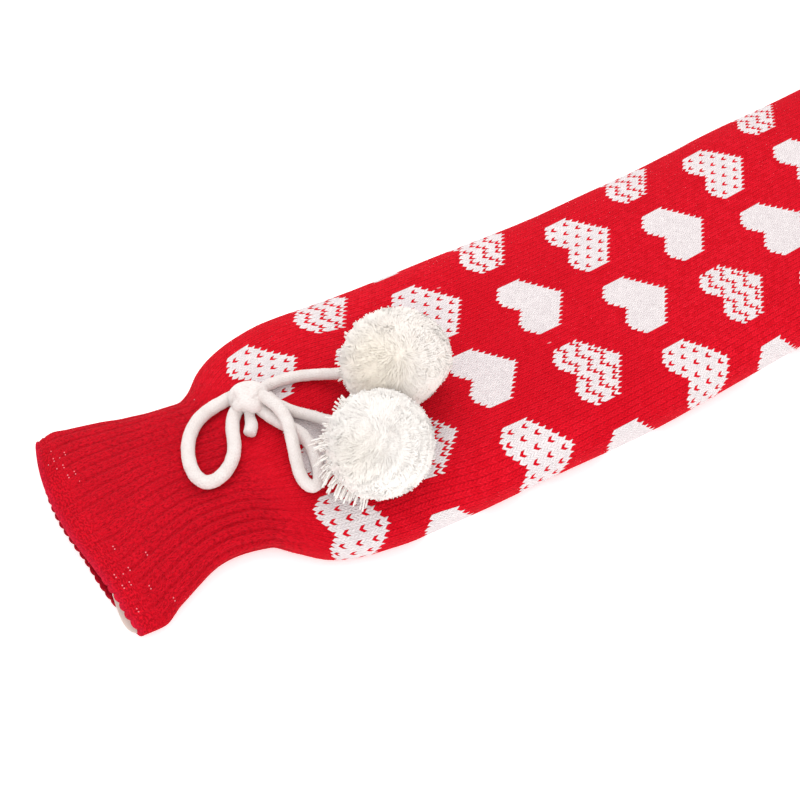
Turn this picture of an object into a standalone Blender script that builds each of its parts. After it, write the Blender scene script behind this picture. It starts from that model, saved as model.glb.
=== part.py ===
"""Knitted cover for a long hot water bottle, with a cord bow and two pompoms.

A flat red tube of knitting lies on its underside. Its ribbed neck flares from a
narrow waist to an open mouth at -X, and its long body is closed at +X. A cream cord
is tied in a bow on top of the waist, and each of its tails ends in a pompom.

Metres, +Z up. The origin is under the middle of the cover's own box.
"""
import math
import random

import bmesh
import bpy
import numpy as np

MM = 0.001

# ---------------------------------------------------------------- the knitted tube
WALL = 2.2 * MM                # thickness of the knitting
GAP = 0.3 * MM                 # between pieces that touch
MOUTH_X = -372.5 * MM          # edge of the mouth, without its scallops
EDGE_SHARE = 0.42              # height of the widest point, as a share of the crown
UNDERSIDE_POWER = 2.6          # how square the lower half of a section is
UNDERSIDE_DROP = 1.15          # over 1, so the underside is cut flat at the floor
SECTION_POINTS = 1441          # points that a section is measured with

RIBS = 60                      # ribs around the neck
RIB_HIGH = 0.35 * MM           # half the depth of a rib
RIB_END_X = -306 * MM          # the ribs run from the mouth to here
RIB_FADE = 22 * MM             # and fade out over this length
GATHER_HIGH = 0.55 * MM        # what a rib gains where the waist is gathered
GATHER_X = -318 * MM           # middle of the gathers along the neck
GATHER_LENGTH = 17 * MM
GATHER_AROUND = 0.67           # their middle as a share of the way around
GATHER_SPREAD = 0.07

SCALLOP = 0.5 * MM             # how far each rib's end stands out at the mouth
SCALLOP_LENGTH = 8.5 * MM
FAR_CORNER = 8 * MM            # how far the mouth's edge is drawn back at its corners
NEAR_CORNER = 5 * MM
CORNER_LENGTH = 26 * MM        # length of neck over which that fades

WAVE_HIGH = 0.5 * MM           # slow unevenness of the body
WAVE_START_X = -280 * MM       # it grows from here
WAVE_FULL_X = -240 * MM        # to here
WAVE_LONG, WAVE_SLOW = 61, 23  # its two waves, in radians a metre
WAVE_TURN, WAVE_BACK = 9, 14   # and in radians around
FLAT_BELOW = 3 * MM            # the underside stays even up to this height
UNEVEN_ABOVE = 8 * MM

FINE = 3 * RIBS                # points around a ribbed section
PLAIN = RIBS                   # points around a plain one

# ---------------------------------------------------------------- the tie
CORD_RADIUS = 2.6 * MM
CORD_STEP = 4.4 * MM           # spacing of a cord's points
FINE_STEP = 0.3 * MM           # spacing where a cord is cut to length
CURVE_SHARES = 24              # points read between two rows of a route
RIM_POINTS = 12                # points on the rim of a cord's flat end
KNOT_PLACE = (-282.0 * MM, 25.6 * MM)
KNOT_HALF = np.array([7.0, 6.6, 5.6]) * MM
KNOT_CLEAR = 0.5 * MM          # left around the knot by the cords that leave it
GROOVES = 3                    # slanting grooves around the knot
GROOVE_SLANT = 4
GROOVE_DEEP = 0.13             # as a share of the knot's half sizes
STUB_RADIUS = 2.5 * MM
STUB_STEP = 2.0 * MM

# ---------------------------------------------------------------- the pompoms
HEAD_RADIUS = 17 * MM          # solid middle of a pompom
PILE_RADIUS = 22.5 * MM        # where its strands end
STRANDS = 150                  # the most strands on one pompom
EVEN_SHARE = 0.95              # shortest strand, as a share of the pile's radius
RANDOM_SHARE = 0.07
LOOSE_SHARE = 0.12             # what a strand may gain on the loose side
ROOT_INSET = 0.35 * MM         # ledge around a strand's root
LEAN_SHARE = 0.04              # how far a tip leans, as a share of its strand
REACH_STEP = 0.4 * MM          # a strand grows by this until it meets something
PILE_GAP = 0.25 * MM           # left by each pompom on its side of the other
STRAND_CLEAR = 1.2 * MM        # left around the cords
SHORTEST = 0.8 * MM            # a strand with less room than this is left out
TAIL_AIM = 9 * MM              # height over the knitting from which a tail enters

# Sections of the tube along its length, in millimetres.
# x | middle across | half width | crown height | squareness of the top
SECTIONS = np.array([
    (-372.5, 14.2, 52.6, 13.0, 2.3),
    (-361.0, 14.2, 53.6, 13.8, 2.3),
    (-349.0, 15.2, 50.0, 15.0, 2.3),
    (-337.0, 15.4, 45.5, 16.2, 2.3),
    (-327.0, 14.6, 41.8, 17.4, 2.3),
    (-316.0, 12.3, 40.2, 18.6, 2.4),
    (-306.0, 9.4, 40.6, 19.8, 2.4),
    (-299.0, 6.4, 45.6, 20.7, 2.5),
    (-291.0, 5.2, 53.4, 21.6, 2.6),
    (-282.0, 4.7, 58.4, 22.3, 2.7),
    (-270.0, 4.4, 61.7, 22.8, 2.8),
    (-254.0, 3.2, 63.7, 23.3, 2.9),
    (-234.0, 0.9, 63.2, 23.8, 3.0),
    (-204.0, -1.5, 62.5, 23.8, 3.0),
    (-159.0, -5.0, 61.8, 23.8, 3.0),
    (-104.0, -6.8, 60.5, 23.8, 3.0),
    (-24.0, -5.8, 59.4, 23.8, 3.0),
    (106.0, -6.0, 59.4, 23.8, 3.0),
    (256.0, -6.2, 59.4, 23.8, 3.0),
    (336.0, -6.2, 58.6, 22.9, 3.0),
    (356.0, -6.2, 56.0, 20.2, 2.8),
    (366.0, -6.2, 52.2, 16.0, 2.6),
    (371.5, -6.2, 47.0, 11.0, 2.4),
    (373.0, -6.2, 43.5, 7.6, 2.2),
])

# Stations of the outer and the inner face along X, in millimetres.
NECK_STATIONS = (-372.5, -368, -361, -352, -343, -334, -325, -317, -309, -302, -296, -290, -284)
BODY_STATIONS = (-278, -270, -260, -245, -225, -195, -155, -110, -60, -10, 40, 90, 140,
                 190, 240, 290, 325, 343, 356, 364, 369, 371.5, 373)
INNER_STATIONS = (-372.5, -361, -345, -328, -314, -303, -294, -284, -270, -245, -195, -110,
                  -10, 90, 190, 290, 335, 352, 362, 367)

# Cord routes, in millimetres: x | y | how far the cord is lifted off the knitting.
LEFT_LOOP = (
    (-280.4, 29.7, 0.0), (-285.8, 30.6, 0.0), (-290.4, 30.8, 0.0), (-296.3, 30.9, 0.0),
    (-302.3, 29.9, 0.0), (-307.9, 27.0, 0.0), (-312.8, 22.2, 0.0), (-316.3, 16.2, 0.0),
    (-318.2, 10.2, 0.0), (-318.3, 4.8, 0.0), (-316.2, 0.9, 0.0), (-311.8, -0.2, 0.0),
    (-306.3, 1.4, 0.0), (-301.5, 5.2, 0.0), (-298.3, 10.1, 0.0), (-295.9, 15.6, 0.0),
    (-293.0, 20.4, 0.0), (-289.8, 23.4, 0.0), (-285.4, 25.2, 0.0),
)
RIGHT_LOOP = (
    (-280.4, 24.7, 4.6), (-278.3, 19.0, 5.6), (-276.9, 13.4, 5.9), (-276.5, 7.8, 6.0),
    (-277.3, 2.0, 6.0), (-279.1, -3.4, 5.2), (-281.0, -8.6, 3.2), (-282.7, -13.4, 1.2),
    (-283.9, -18.0, 0.2), (-284.1, -22.2, 0.0), (-282.7, -25.0, 0.0), (-280.1, -25.0, 0.0),
    (-278.0, -22.7, 0.0), (-276.1, -18.4, 0.0), (-274.5, -12.8, 0.0), (-273.5, -7.2, 0.0),
    (-273.7, -1.8, 0.0), (-275.3, 3.0, 0.0), (-277.5, 7.2, 0.0), (-279.3, 11.6, 0.0),
    (-280.6, 15.8, 0.0), (-281.2, 19.6, 0.0), (-281.3, 23.2, 0.0),
)
TAIL_FAR = (
    (-279.9, 27.2, 0.6), (-275.3, 29.0, 0.0), (-270.1, 29.5, 0.0), (-265.1, 28.1, 0.0),
    (-260.1, 25.7, 0.0), (-255.1, 22.6, 0.2), (-250.1, 19.0, 1.4), (-245.3, 14.4, 3.8),
)
TAIL_NEAR = (
    (-275.3, 22.6, 0.0), (-274.2, 17.2, 0.0), (-271.8, 12.2, 0.0), (-268.8, 7.8, 0.0),
    (-265.8, 3.6, 0.6), (-263.6, -1.4, 2.4), (-262.0, -6.8, 5.6),
)
STUB = ((-285.0, 21.8, 0.0), (-288.4, 15.2, 0.0), (-291.3, 9.4, 0.0))

# Middles of the pompoms, in millimetres.
POMPOM_FAR = np.array([-230.2, -4.4, 42.8]) * MM
POMPOM_NEAR = np.array([-258.7, -33.4, 42.4]) * MM

# ---------------------------------------------------------------- materials
RED = (0.68, 0.012, 0.025, 1.0)
CREAM = (0.86, 0.83, 0.76, 1.0)


def fabric(name, colour, roughness):
    """A plain cloth material."""
    material = bpy.data.materials.new(name)
    material.use_nodes = True
    shader = material.node_tree.nodes["Principled BSDF"]
    shader.inputs["Base Color"].default_value = colour
    shader.inputs["Roughness"].default_value = roughness
    shader.inputs["Metallic"].default_value = 0.0
    return material


# ---------------------------------------------------------------- the tube's form
def slopes(table):
    """Slopes of a smooth curve through the table's rows that never overshoots them."""
    steps = np.diff(table[:, :1], axis=0)
    rise = np.diff(table[:, 1:], axis=0) / steps
    before, after = rise[:-1], rise[1:]
    weight_a = 2 * steps[1:] + steps[:-1]
    weight_b = steps[1:] + 2 * steps[:-1]
    same_way = before * after > 0
    safe_a = np.where(same_way, before, 1.0)
    safe_b = np.where(same_way, after, 1.0)
    mean = (weight_a + weight_b) / (weight_a / safe_a + weight_b / safe_b)
    return np.vstack([rise[:1], np.where(same_way, mean, 0.0), rise[-1:]])


SECTION_SLOPES = slopes(SECTIONS)


def section(x):
    """Middle, half width, crown (metres) and squareness of the section at x."""
    stations = SECTIONS[:, 0]
    at = min(max(x / MM, stations[0]), stations[-1])
    row = min(int(np.searchsorted(stations, at, side="right")) - 1, len(stations) - 2)
    step = stations[row + 1] - stations[row]
    t = (at - stations[row]) / step
    values = ((2 * t ** 3 - 3 * t ** 2 + 1) * SECTIONS[row, 1:]
              + (t ** 3 - 2 * t ** 2 + t) * step * SECTION_SLOPES[row]
              + (3 * t ** 2 - 2 * t ** 3) * SECTIONS[row + 1, 1:]
              + (t ** 3 - t ** 2) * step * SECTION_SLOPES[row + 1])
    middle, half, crown, power = values
    return middle * MM, half * MM, crown * MM, power


def smooth_step(value, low, high):
    """0 below low, 1 above high, and a smooth rise between them."""
    t = np.clip((value - low) / (high - low), 0.0, 1.0)
    return t * t * (3 - 2 * t)


def ring(x, count, inset=0.0):
    """Evenly spaced points (y, z) of the section at x, drawn in by inset.

    They start under the middle, rise on the far side (+Y), cross the crown at half
    way and come back down the near side. The lower half is cut flat at the floor.
    """
    middle, half, crown, power = section(x)
    edge = EDGE_SHARE * crown
    angle = np.linspace(-math.pi / 2, 1.5 * math.pi, SECTION_POINTS)
    cosine, sine = np.cos(angle), np.sin(angle)
    over = sine >= 0
    tall = np.where(over, crown - inset - edge, UNDERSIDE_DROP * edge)
    square = np.where(over, power, UNDERSIDE_POWER)
    wide = half - inset
    radius = ((np.abs(cosine) / wide) ** square + (np.abs(sine) / tall) ** square) ** (-1 / square)
    y = middle + radius * cosine
    z = np.maximum(edge + radius * sine, inset)
    walked = np.concatenate([[0.0], np.cumsum(np.hypot(np.diff(y), np.diff(z)))])
    wanted = np.arange(count) / count * walked[-1]
    return np.interp(wanted, walked, y), np.interp(wanted, walked, z)


def rib_height(x, around):
    """Half depth of a rib at x and at a share of the way around."""
    fade = 1 - smooth_step(x, RIB_END_X, RIB_END_X + RIB_FADE)
    along = np.exp(-((x - GATHER_X) / GATHER_LENGTH) ** 2)
    across = np.exp(-((around - GATHER_AROUND) / GATHER_SPREAD) ** 2)
    return fade * (RIB_HIGH + GATHER_HIGH * along * across)


def mouth_shift(x, y):
    """The station x, drawn back towards the corners of the mouth."""
    middle, half, _, _ = section(x)
    side = (y - middle) / half
    back = np.where(side > 0, FAR_CORNER, NEAR_CORNER) * side ** 4
    return x + back * (1 - smooth_step(x, MOUTH_X, MOUTH_X + CORNER_LENGTH))


def outer_ring(x, count):
    """Points (x, y, z) of the outer face at one station, with ribs and unevenness."""
    y, z = ring(x, count)
    around = np.arange(count) / count
    along_y = np.roll(y, -1) - np.roll(y, 1)
    along_z = np.roll(z, -1) - np.roll(z, 1)
    length = np.hypot(along_y, along_z)
    ribs = np.cos(2 * math.pi * RIBS * around)
    wave = np.sin(WAVE_LONG * x + WAVE_TURN * around) * np.sin(WAVE_SLOW * x - WAVE_BACK * around)
    wave = wave * smooth_step(x, WAVE_START_X, WAVE_FULL_X)
    proud = rib_height(x, around) * ribs + WAVE_HIGH * wave
    proud = proud * smooth_step(z, FLAT_BELOW, UNEVEN_ABOVE)
    y = y + proud * along_z / length
    z = np.maximum(z - proud * along_y / length, 0.0)
    scallop = SCALLOP * ribs * (1 - smooth_step(x, MOUTH_X, MOUTH_X + SCALLOP_LENGTH))
    return np.stack([mouth_shift(x, y) - scallop, y, z], axis=1)


def inner_ring(x):
    """Points (x, y, z) of the inner face at one station."""
    y, z = ring(x, PLAIN, WALL)
    return np.stack([mouth_shift(x, y), y, z], axis=1)


def top_height(x, y):
    """Height of the tube's top at (x, y), over the ribs."""
    middle, half, crown, power = section(x)
    edge = EDGE_SHARE * crown
    side = min(abs(y - middle) / half, 0.98)
    around = 0.5 - 0.25 * (y - middle) / half
    return edge + (crown - edge) * (1 - side ** power) ** (1 / power) + rib_height(x, around)


def on_top(x, y, clear):
    """The point that lies clear of the tube's top, square to it, at (x, y)."""
    step = 1.0 * MM
    rise_x = (top_height(x + step, y) - top_height(x - step, y)) / (2 * step)
    rise_y = (top_height(x, y + step) - top_height(x, y - step)) / (2 * step)
    normal = np.array([-rise_x, -rise_y, 1.0])
    normal /= np.linalg.norm(normal)
    return np.array([x, y, top_height(x, y)]) + clear * normal


# ---------------------------------------------------------------- mesh helpers
def add_ring(mesh, points):
    """A ring of new vertices."""
    return [mesh.verts.new(point) for point in points]


def join_rings(mesh, first, second):
    """Faces between two rings: equal ones, or the first three times as fine."""
    count = len(second)
    if len(first) == count:
        for i in range(count):
            j = (i + 1) % count
            mesh.faces.new((first[i], first[j], second[j], second[i]))
        return
    fine = len(first)
    for i in range(count):
        a, b, c, d = (first[(3 * i + k) % fine] for k in range(4))
        low, high = second[i], second[(i + 1) % count]
        mesh.faces.new((a, b, low))
        mesh.faces.new((b, high, low))
        mesh.faces.new((b, c, high))
        mesh.faces.new((c, d, high))


def close_ring(mesh, points):
    """A fan of triangles that closes a ring at its middle."""
    centre = sum((np.array(point.co) for point in points), np.zeros(3)) / len(points)
    hub = mesh.verts.new(centre)
    for i, point in enumerate(points):
        mesh.faces.new((point, points[(i + 1) % len(points)], hub))


def finish(name, mesh, material, sharp_degrees=50):
    """Turn a closed bmesh into a named, smooth object."""
    bmesh.ops.recalc_face_normals(mesh, faces=mesh.faces)
    data = bpy.data.meshes.new(name)
    mesh.to_mesh(data)
    mesh.free()
    data.materials.append(material)
    data.shade_smooth()
    data.set_sharp_from_angle(angle=math.radians(sharp_degrees))
    item = bpy.data.objects.new(name, data)
    bpy.context.scene.collection.objects.link(item)
    return item


def make_cover(material):
    """The knitted tube: outer face, edge of the mouth, and inner face."""
    mesh = bmesh.new()
    neck = [add_ring(mesh, outer_ring(x * MM, FINE)) for x in NECK_STATIONS]
    body = [add_ring(mesh, outer_ring(x * MM, PLAIN)) for x in BODY_STATIONS]
    inside = [add_ring(mesh, inner_ring(x * MM)) for x in INNER_STATIONS]
    for rings in (neck, body, inside):
        for first, second in zip(rings, rings[1:]):
            join_rings(mesh, first, second)
    join_rings(mesh, neck[-1], body[0])
    join_rings(mesh, neck[0], inside[0])
    close_ring(mesh, body[-1])
    close_ring(mesh, inside[-1])
    return finish("cover", mesh, material)


# ---------------------------------------------------------------- the tie's pieces
def smooth_path(points, step):
    """Evenly spaced points on a smooth curve through the given points."""
    points = np.asarray(points)
    ends = np.vstack([2 * points[0] - points[1], points, 2 * points[-1] - points[-2]])
    t = np.linspace(0, 1, CURVE_SHARES, endpoint=False)[:, None]
    pieces = []
    for a, b, c, d in zip(ends, ends[1:], ends[2:], ends[3:]):
        pieces.append(0.5 * (2 * b + (c - a) * t + (2 * a - 5 * b + 4 * c - d) * t ** 2
                             + (3 * b - a - 3 * c + d) * t ** 3))
    curve = np.vstack(pieces + [points[-1:]])
    walked = np.concatenate([[0.0], np.cumsum(np.linalg.norm(np.diff(curve, axis=0), axis=1))])
    count = max(4, round(walked[-1] / step) + 1)
    wanted = np.linspace(0, walked[-1], count)
    return np.stack([np.interp(wanted, walked, curve[:, k]) for k in range(3)], axis=1)


def laid(route):
    """A route table as the middle line of a cord that lies on the tube."""
    return [on_top(x * MM, y * MM, CORD_RADIUS + GAP + lift * MM) for x, y, lift in route]


KNOT_MIDDLE = on_top(*KNOT_PLACE, KNOT_HALF[2] + GAP)


def end_disc(place, way):
    """The middle of a cord's flat end and points on its rim."""
    way = way / np.linalg.norm(way)
    side = np.cross(way, (0.0, 0.0, 1.0))
    side /= np.linalg.norm(side)
    other = np.cross(way, side)
    turn = np.linspace(0, 2 * math.pi, RIM_POINTS, endpoint=False)[:, None]
    return np.vstack([place, place + CORD_RADIUS * (side * np.cos(turn) + other * np.sin(turn))])


def clear_of_knot(path):
    """The path from past the last place in its first half where it meets the knot."""
    start = 0
    for i in range(len(path) // 2):
        away = (end_disc(path[i], path[i + 1] - path[i]) - KNOT_MIDDLE) / (KNOT_HALF + KNOT_CLEAR)
        if np.linalg.norm(away, axis=1).min() <= 1.0:
            start = i + 1
    return path[start:]


def loop_path(route):
    """The middle line of a bow loop, from the knot and back to it."""
    path = clear_of_knot(smooth_path(laid(route), FINE_STEP))
    return smooth_path(clear_of_knot(path[::-1])[::-1], CORD_STEP)


def tail_path(route, pompom):
    """The middle line of a tail, from the knot to the head of its pompom."""
    x, y, _ = route[-1]
    way = on_top(x * MM, y * MM, TAIL_AIM) - pompom
    stop = pompom + way * (HEAD_RADIUS + GAP) / np.linalg.norm(way)
    path = clear_of_knot(smooth_path(laid(route) + [stop], FINE_STEP))
    return smooth_path(path, CORD_STEP)


def make_cord(name, path, material, radius=CORD_RADIUS):
    """A closed round tube along a middle line."""
    data = bpy.data.curves.new(name, "CURVE")
    data.dimensions = "3D"
    data.bevel_depth = radius
    data.bevel_resolution = 2
    data.use_fill_caps = True
    spline = data.splines.new("POLY")
    spline.points.add(len(path) - 1)
    for point, place in zip(spline.points, path):
        point.co = (*place, 1.0)
    spline.use_smooth = True
    data.materials.append(material)
    item = bpy.data.objects.new(name, data)
    bpy.context.scene.collection.objects.link(item)
    return item


def make_knot(material):
    """The knot: an oval lump with slanting grooves, and the short cut cord end."""
    mesh = bmesh.new()
    bmesh.ops.create_uvsphere(mesh, u_segments=20, v_segments=12, radius=1.0)
    for vert in mesh.verts:
        around = math.atan2(vert.co.y, vert.co.x)
        groove = 0.5 - 0.5 * math.cos(GROOVES * around + GROOVE_SLANT * vert.co.z)
        size = 1 - GROOVE_DEEP * groove * (1 - vert.co.z ** 4)
        vert.co = KNOT_MIDDLE + np.array(vert.co) * KNOT_HALF * size
    knot = finish("tie_knot", mesh, material)
    tube = make_cord("stub_tube", smooth_path(laid(STUB), STUB_STEP), material, STUB_RADIUS)
    tube_mesh = bpy.data.meshes.new_from_object(tube)
    bpy.data.objects.remove(tube)
    guide = bpy.data.objects.new("stub", tube_mesh)
    guide.hide_render = True
    guide.display_type = "WIRE"
    bpy.context.scene.collection.objects.link(guide)
    union = knot.modifiers.new("stub", "BOOLEAN")
    union.operation = "UNION"
    union.solver = "EXACT"
    union.object = guide
    return knot


# ---------------------------------------------------------------- the pompoms' pieces
def strand_reach(middle, way, wanted, other, cords):
    """How far a strand may reach: clear of the tube, the other pompom and the cords."""
    between = (other - middle) / 2
    room = np.linalg.norm(between)
    between_way = between / room
    reach = HEAD_RADIUS
    while reach < wanted:
        tip = middle + way * (reach + REACH_STEP)
        if tip[2] < top_height(tip[0], tip[1]) + REACH_STEP:
            break
        if (tip - middle) @ between_way > room - PILE_GAP:
            break
        if np.linalg.norm(cords - tip, axis=1).min() < CORD_RADIUS + STRAND_CLEAR:
            break
        reach += REACH_STEP
    return reach


def strand_faces(mesh, rng):
    """Faces of the head, taken at random, of which no two share an edge."""
    order = list(mesh.faces)
    rng.shuffle(order)
    used, chosen = set(), []
    for face in order:
        if len(chosen) < STRANDS and used.isdisjoint(face.edges):
            chosen.append(face)
            used.update(face.edges)
    return chosen


def make_pompom(name, middle, other, cords, loose_way, seed, material):
    """A round head whose faces carry three-sided strands, longer towards loose_way."""
    rng = random.Random(seed)
    mesh = bmesh.new()
    bmesh.ops.create_icosphere(mesh, subdivisions=3, radius=HEAD_RADIUS)
    for face in strand_faces(mesh, rng):
        way = np.array(face.calc_center_median())
        way /= np.linalg.norm(way)
        loose = max(0.0, float(way @ loose_way)) ** 2
        share = EVEN_SHARE + RANDOM_SHARE * rng.random() + LOOSE_SHARE * loose * rng.random()
        reach = strand_reach(middle, way, PILE_RADIUS * share, other, cords)
        if reach < HEAD_RADIUS + SHORTEST:
            continue
        lean = np.array([rng.uniform(-1, 1) for _ in range(3)])
        bmesh.ops.inset_region(mesh, faces=[face], thickness=ROOT_INSET)
        tip = bmesh.ops.extrude_discrete_faces(mesh, faces=[face])["faces"][0]
        place = way * reach + lean * LEAN_SHARE * (reach - HEAD_RADIUS)
        bmesh.ops.pointmerge(mesh, verts=list(tip.verts), merge_co=tuple(place))
    bmesh.ops.translate(mesh, verts=mesh.verts, vec=tuple(middle))
    return finish(name, mesh, material, 180)


# ---------------------------------------------------------------- the whole part
def build():
    """Clear the scene and make every piece."""
    for item in list(bpy.data.objects):
        bpy.data.objects.remove(item)
    red_knit = fabric("red_knit", RED, 0.9)
    cord_yarn = fabric("cord_yarn", CREAM, 0.85)
    pile_yarn = fabric("pile_yarn", CREAM, 0.95)

    make_cover(red_knit)
    make_knot(cord_yarn)

    paths = {
        "tie_loop_left": loop_path(LEFT_LOOP),
        "tie_loop_right": loop_path(RIGHT_LOOP),
        "tie_tail_far": tail_path(TAIL_FAR, POMPOM_FAR),
        "tie_tail_near": tail_path(TAIL_NEAR, POMPOM_NEAR),
    }
    for name, path in paths.items():
        make_cord(name, path, cord_yarn)

    cords = np.vstack([smooth_path(path, 1.0 * MM) for path in paths.values()])
    to_knot = KNOT_MIDDLE - POMPOM_NEAR
    to_knot /= np.linalg.norm(to_knot)
    make_pompom("pompom_far", POMPOM_FAR, POMPOM_NEAR, cords, -to_knot, 3, pile_yarn)
    make_pompom("pompom_near", POMPOM_NEAR, POMPOM_FAR, cords, to_knot, 8, pile_yarn)


build()
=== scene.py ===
"""The looks of a knitted cover for a long hot water bottle, with its bow and pompoms.

The tube, its ribbed neck and the tie's cords are worked out from the same numbers as
the part's solids. Metres, +Z up, in the row frame.
"""
import math
from functools import partialmethod

import bpy
import numpy as np
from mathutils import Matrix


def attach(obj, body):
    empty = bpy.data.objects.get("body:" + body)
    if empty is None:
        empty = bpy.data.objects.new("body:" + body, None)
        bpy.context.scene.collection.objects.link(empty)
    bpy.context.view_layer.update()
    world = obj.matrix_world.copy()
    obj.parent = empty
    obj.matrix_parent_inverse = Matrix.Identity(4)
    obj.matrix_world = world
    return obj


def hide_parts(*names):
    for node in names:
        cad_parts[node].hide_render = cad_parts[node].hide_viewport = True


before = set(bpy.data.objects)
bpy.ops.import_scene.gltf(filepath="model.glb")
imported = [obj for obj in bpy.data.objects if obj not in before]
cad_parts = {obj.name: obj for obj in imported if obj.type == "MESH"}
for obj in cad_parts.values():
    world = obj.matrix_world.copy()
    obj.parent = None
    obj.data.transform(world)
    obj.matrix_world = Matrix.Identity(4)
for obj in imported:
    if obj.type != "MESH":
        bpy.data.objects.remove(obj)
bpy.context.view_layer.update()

MM = 0.001
TURN = 2 * math.pi

# ---------------- camera
CAMERA_PLACE = (-0.4835, -0.4041, 0.6422)
CAMERA_TILT, CAMERA_TURN = 37.281, -32.568    # degrees
CAMERA_LENS, CAMERA_SENSOR = 84.85, 36.0

# ---------------- the knitted tube
WALL = 2.2 * MM
GAP = 0.3 * MM
LAID_OVER = 0.35 * MM          # how much higher things lie on the neck, for its ribs,
RIBS_FELT = (-306 * MM, -284 * MM)     # where that ends,
NECK_ENDS = (-304 * MM, -286 * MM)     # and where the neck's looks end
MOUTH_X, END_X = -372.5 * MM, 373.0 * MM
INNER_END_X = 367.0 * MM
EDGE_SHARE = 0.42
UNDERSIDE_POWER = 2.6
UNDERSIDE_DROP = 1.15
SECTION_POINTS = 1441

RIBS = 38                      # around the neck: each two knit wales and a purl band
RIB_TOP = 0.31                 # where a rib stands highest, as a share of one rib
RIB_HIGH = 0.14 * MM
RIB_END_X, RIB_FADE = -306 * MM, 22 * MM
NECK_COURSE = 2.21 * MM        # length of one row of the neck's stitches
GATHER_HIGH = 0.55 * MM        # how much higher the ribs stand where the waist is gathered
GATHER_X, GATHER_LENGTH = -319 * MM, 19 * MM
GATHER_AROUND, GATHER_SPREAD = 0.67, 0.075
SCALLOPS = 48                  # around the cast-on edge
SCALLOP, SCALLOP_LENGTH = 0.62 * MM, 5 * MM
HEM_RIDGE, HEM_PITCH, HEM_LENGTH = 0.4 * MM, 3.3 * MM, 11 * MM
FAR_BACK, FAR_POWER = 10.5 * MM, 2.4    # how the mouth's line runs back to its corners
NEAR_BACK, NEAR_POWER = 4.6 * MM, 1.15
CORNER_OUT, CORNER_POWER = 0.6 * MM, 9
CORNER_LENGTH = 26 * MM
MOUTH_OUT, LOWER_BACK = 0.5 * MM, 0.9 * MM
NEAR_OUT, NEAR_BELL = 0.9 * MM, (-0.84, 0.12)  # bells: middle and spread, in half widths
LOWER_OUT, LOWER_BELL = 1.2 * MM, (-0.1, 0.28)
HOLE_PITCH, HOLES_A_RIB = 3.25 * MM, 4.2    # pinholes along the neck and across a rib
WAVE_HIGH = 0.5 * MM
WAVE_START_X, WAVE_FULL_X = -280 * MM, -240 * MM
WAVE_LONG, WAVE_SLOW, WAVE_TURN, WAVE_BACK = 61, 23, 9, 14
FLAT_BELOW, UNEVEN_ABOVE = 3 * MM, 8 * MM
SEAM_HIGH, SEAM_THICK = 3.4 * MM, 1.7 * MM     # the seam that closes the far end
SEAM_OUT, SEAM_PITCH = 1.2 * MM, 2.6 * MM      # how far it stands out, and its stitches
SEAM_RUFFLE = 0.28

# ---------------- the chart of the knitting
WALES = 132                    # columns of stitches around the body
COURSE = 77.6 * MM / 48        # length of one row of stitches
CHART_START_X = -398.4 * MM    # where course 0 lies
CHART_WALES = 60               # the chart's first wale lies this far from the crown

TAPE_WIDE, TAPE_THICK = 8 * MM, 0.4 * MM       # blank tape inside the mouth's near corner

# ---------------- the tie
CORD_RADIUS = 2.6 * MM
KNOT_PLACE = (-283.0 * MM, 24.3 * MM)
KNOT_HALF = np.array([8.3, 6.9, 6.3]) * MM    # along its own three axes
KNOT_DRAWN = 0.22              # how much farther it reaches on its lower side
KNOT_CORE, KNOT_LEVEL = 0.82, 0.72             # size between the strands, and at their edges
# the axis that a strand goes round | half its width, in radians | how high it stands
KNOT_STRANDS = (((0.12, 0.88, 0.46), 0.44, 1.04), ((-0.90, -0.20, 0.40), 0.40, 1.0),
                ((0.55, -0.70, 0.45), 0.40, 0.97))
STUB_RADIUS, STUB_END = 2.1 * MM, 2.65 * MM
HEAD_RADIUS = 17 * MM          # where the tails end
PILE_FAR, PILE_NEAR = 22.9 * MM, 21.8 * MM     # how far the cut pile reaches
PILE_FROM, CORE_SHARE = 0.950, 0.955           # where strands start and the soft core ends
PILE_LIFT, CORD_CLEAR = 0.5 * MM, 0.45 * MM    # how far they stay off the knitting and the cords
PILE_COMB, TUFT_STRAY, STRAND_STRAY = 0.10, 0.045, 0.02   # how a strand's tip is led aside
TUFT_PULL = 0.05               # how far a strand leans to the middle of its tuft
PILE_REACH, STRAND_UNEVEN, TUFT_UNEVEN = 0.982, 0.008, 0.012    # shares of the pile's size
UPRIGHT_EVERY, UPRIGHT_COMB, UPRIGHT_MORE = 9, 0.3, 0.03  # strands that stand up
STRAND_WIDTHS = np.array([0.24, 0.20]) * MM    # half of them, at the root and the tip
STRANDS, TUFTS = 21000, 330
LOCK_ROOT, LOCK_POINTS = 15 * MM, 9            # where locks start, and points along each
TAIL_AIM, TAIL_IN = 9 * MM, 3 * MM             # over the knitting, and inside the head

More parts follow.
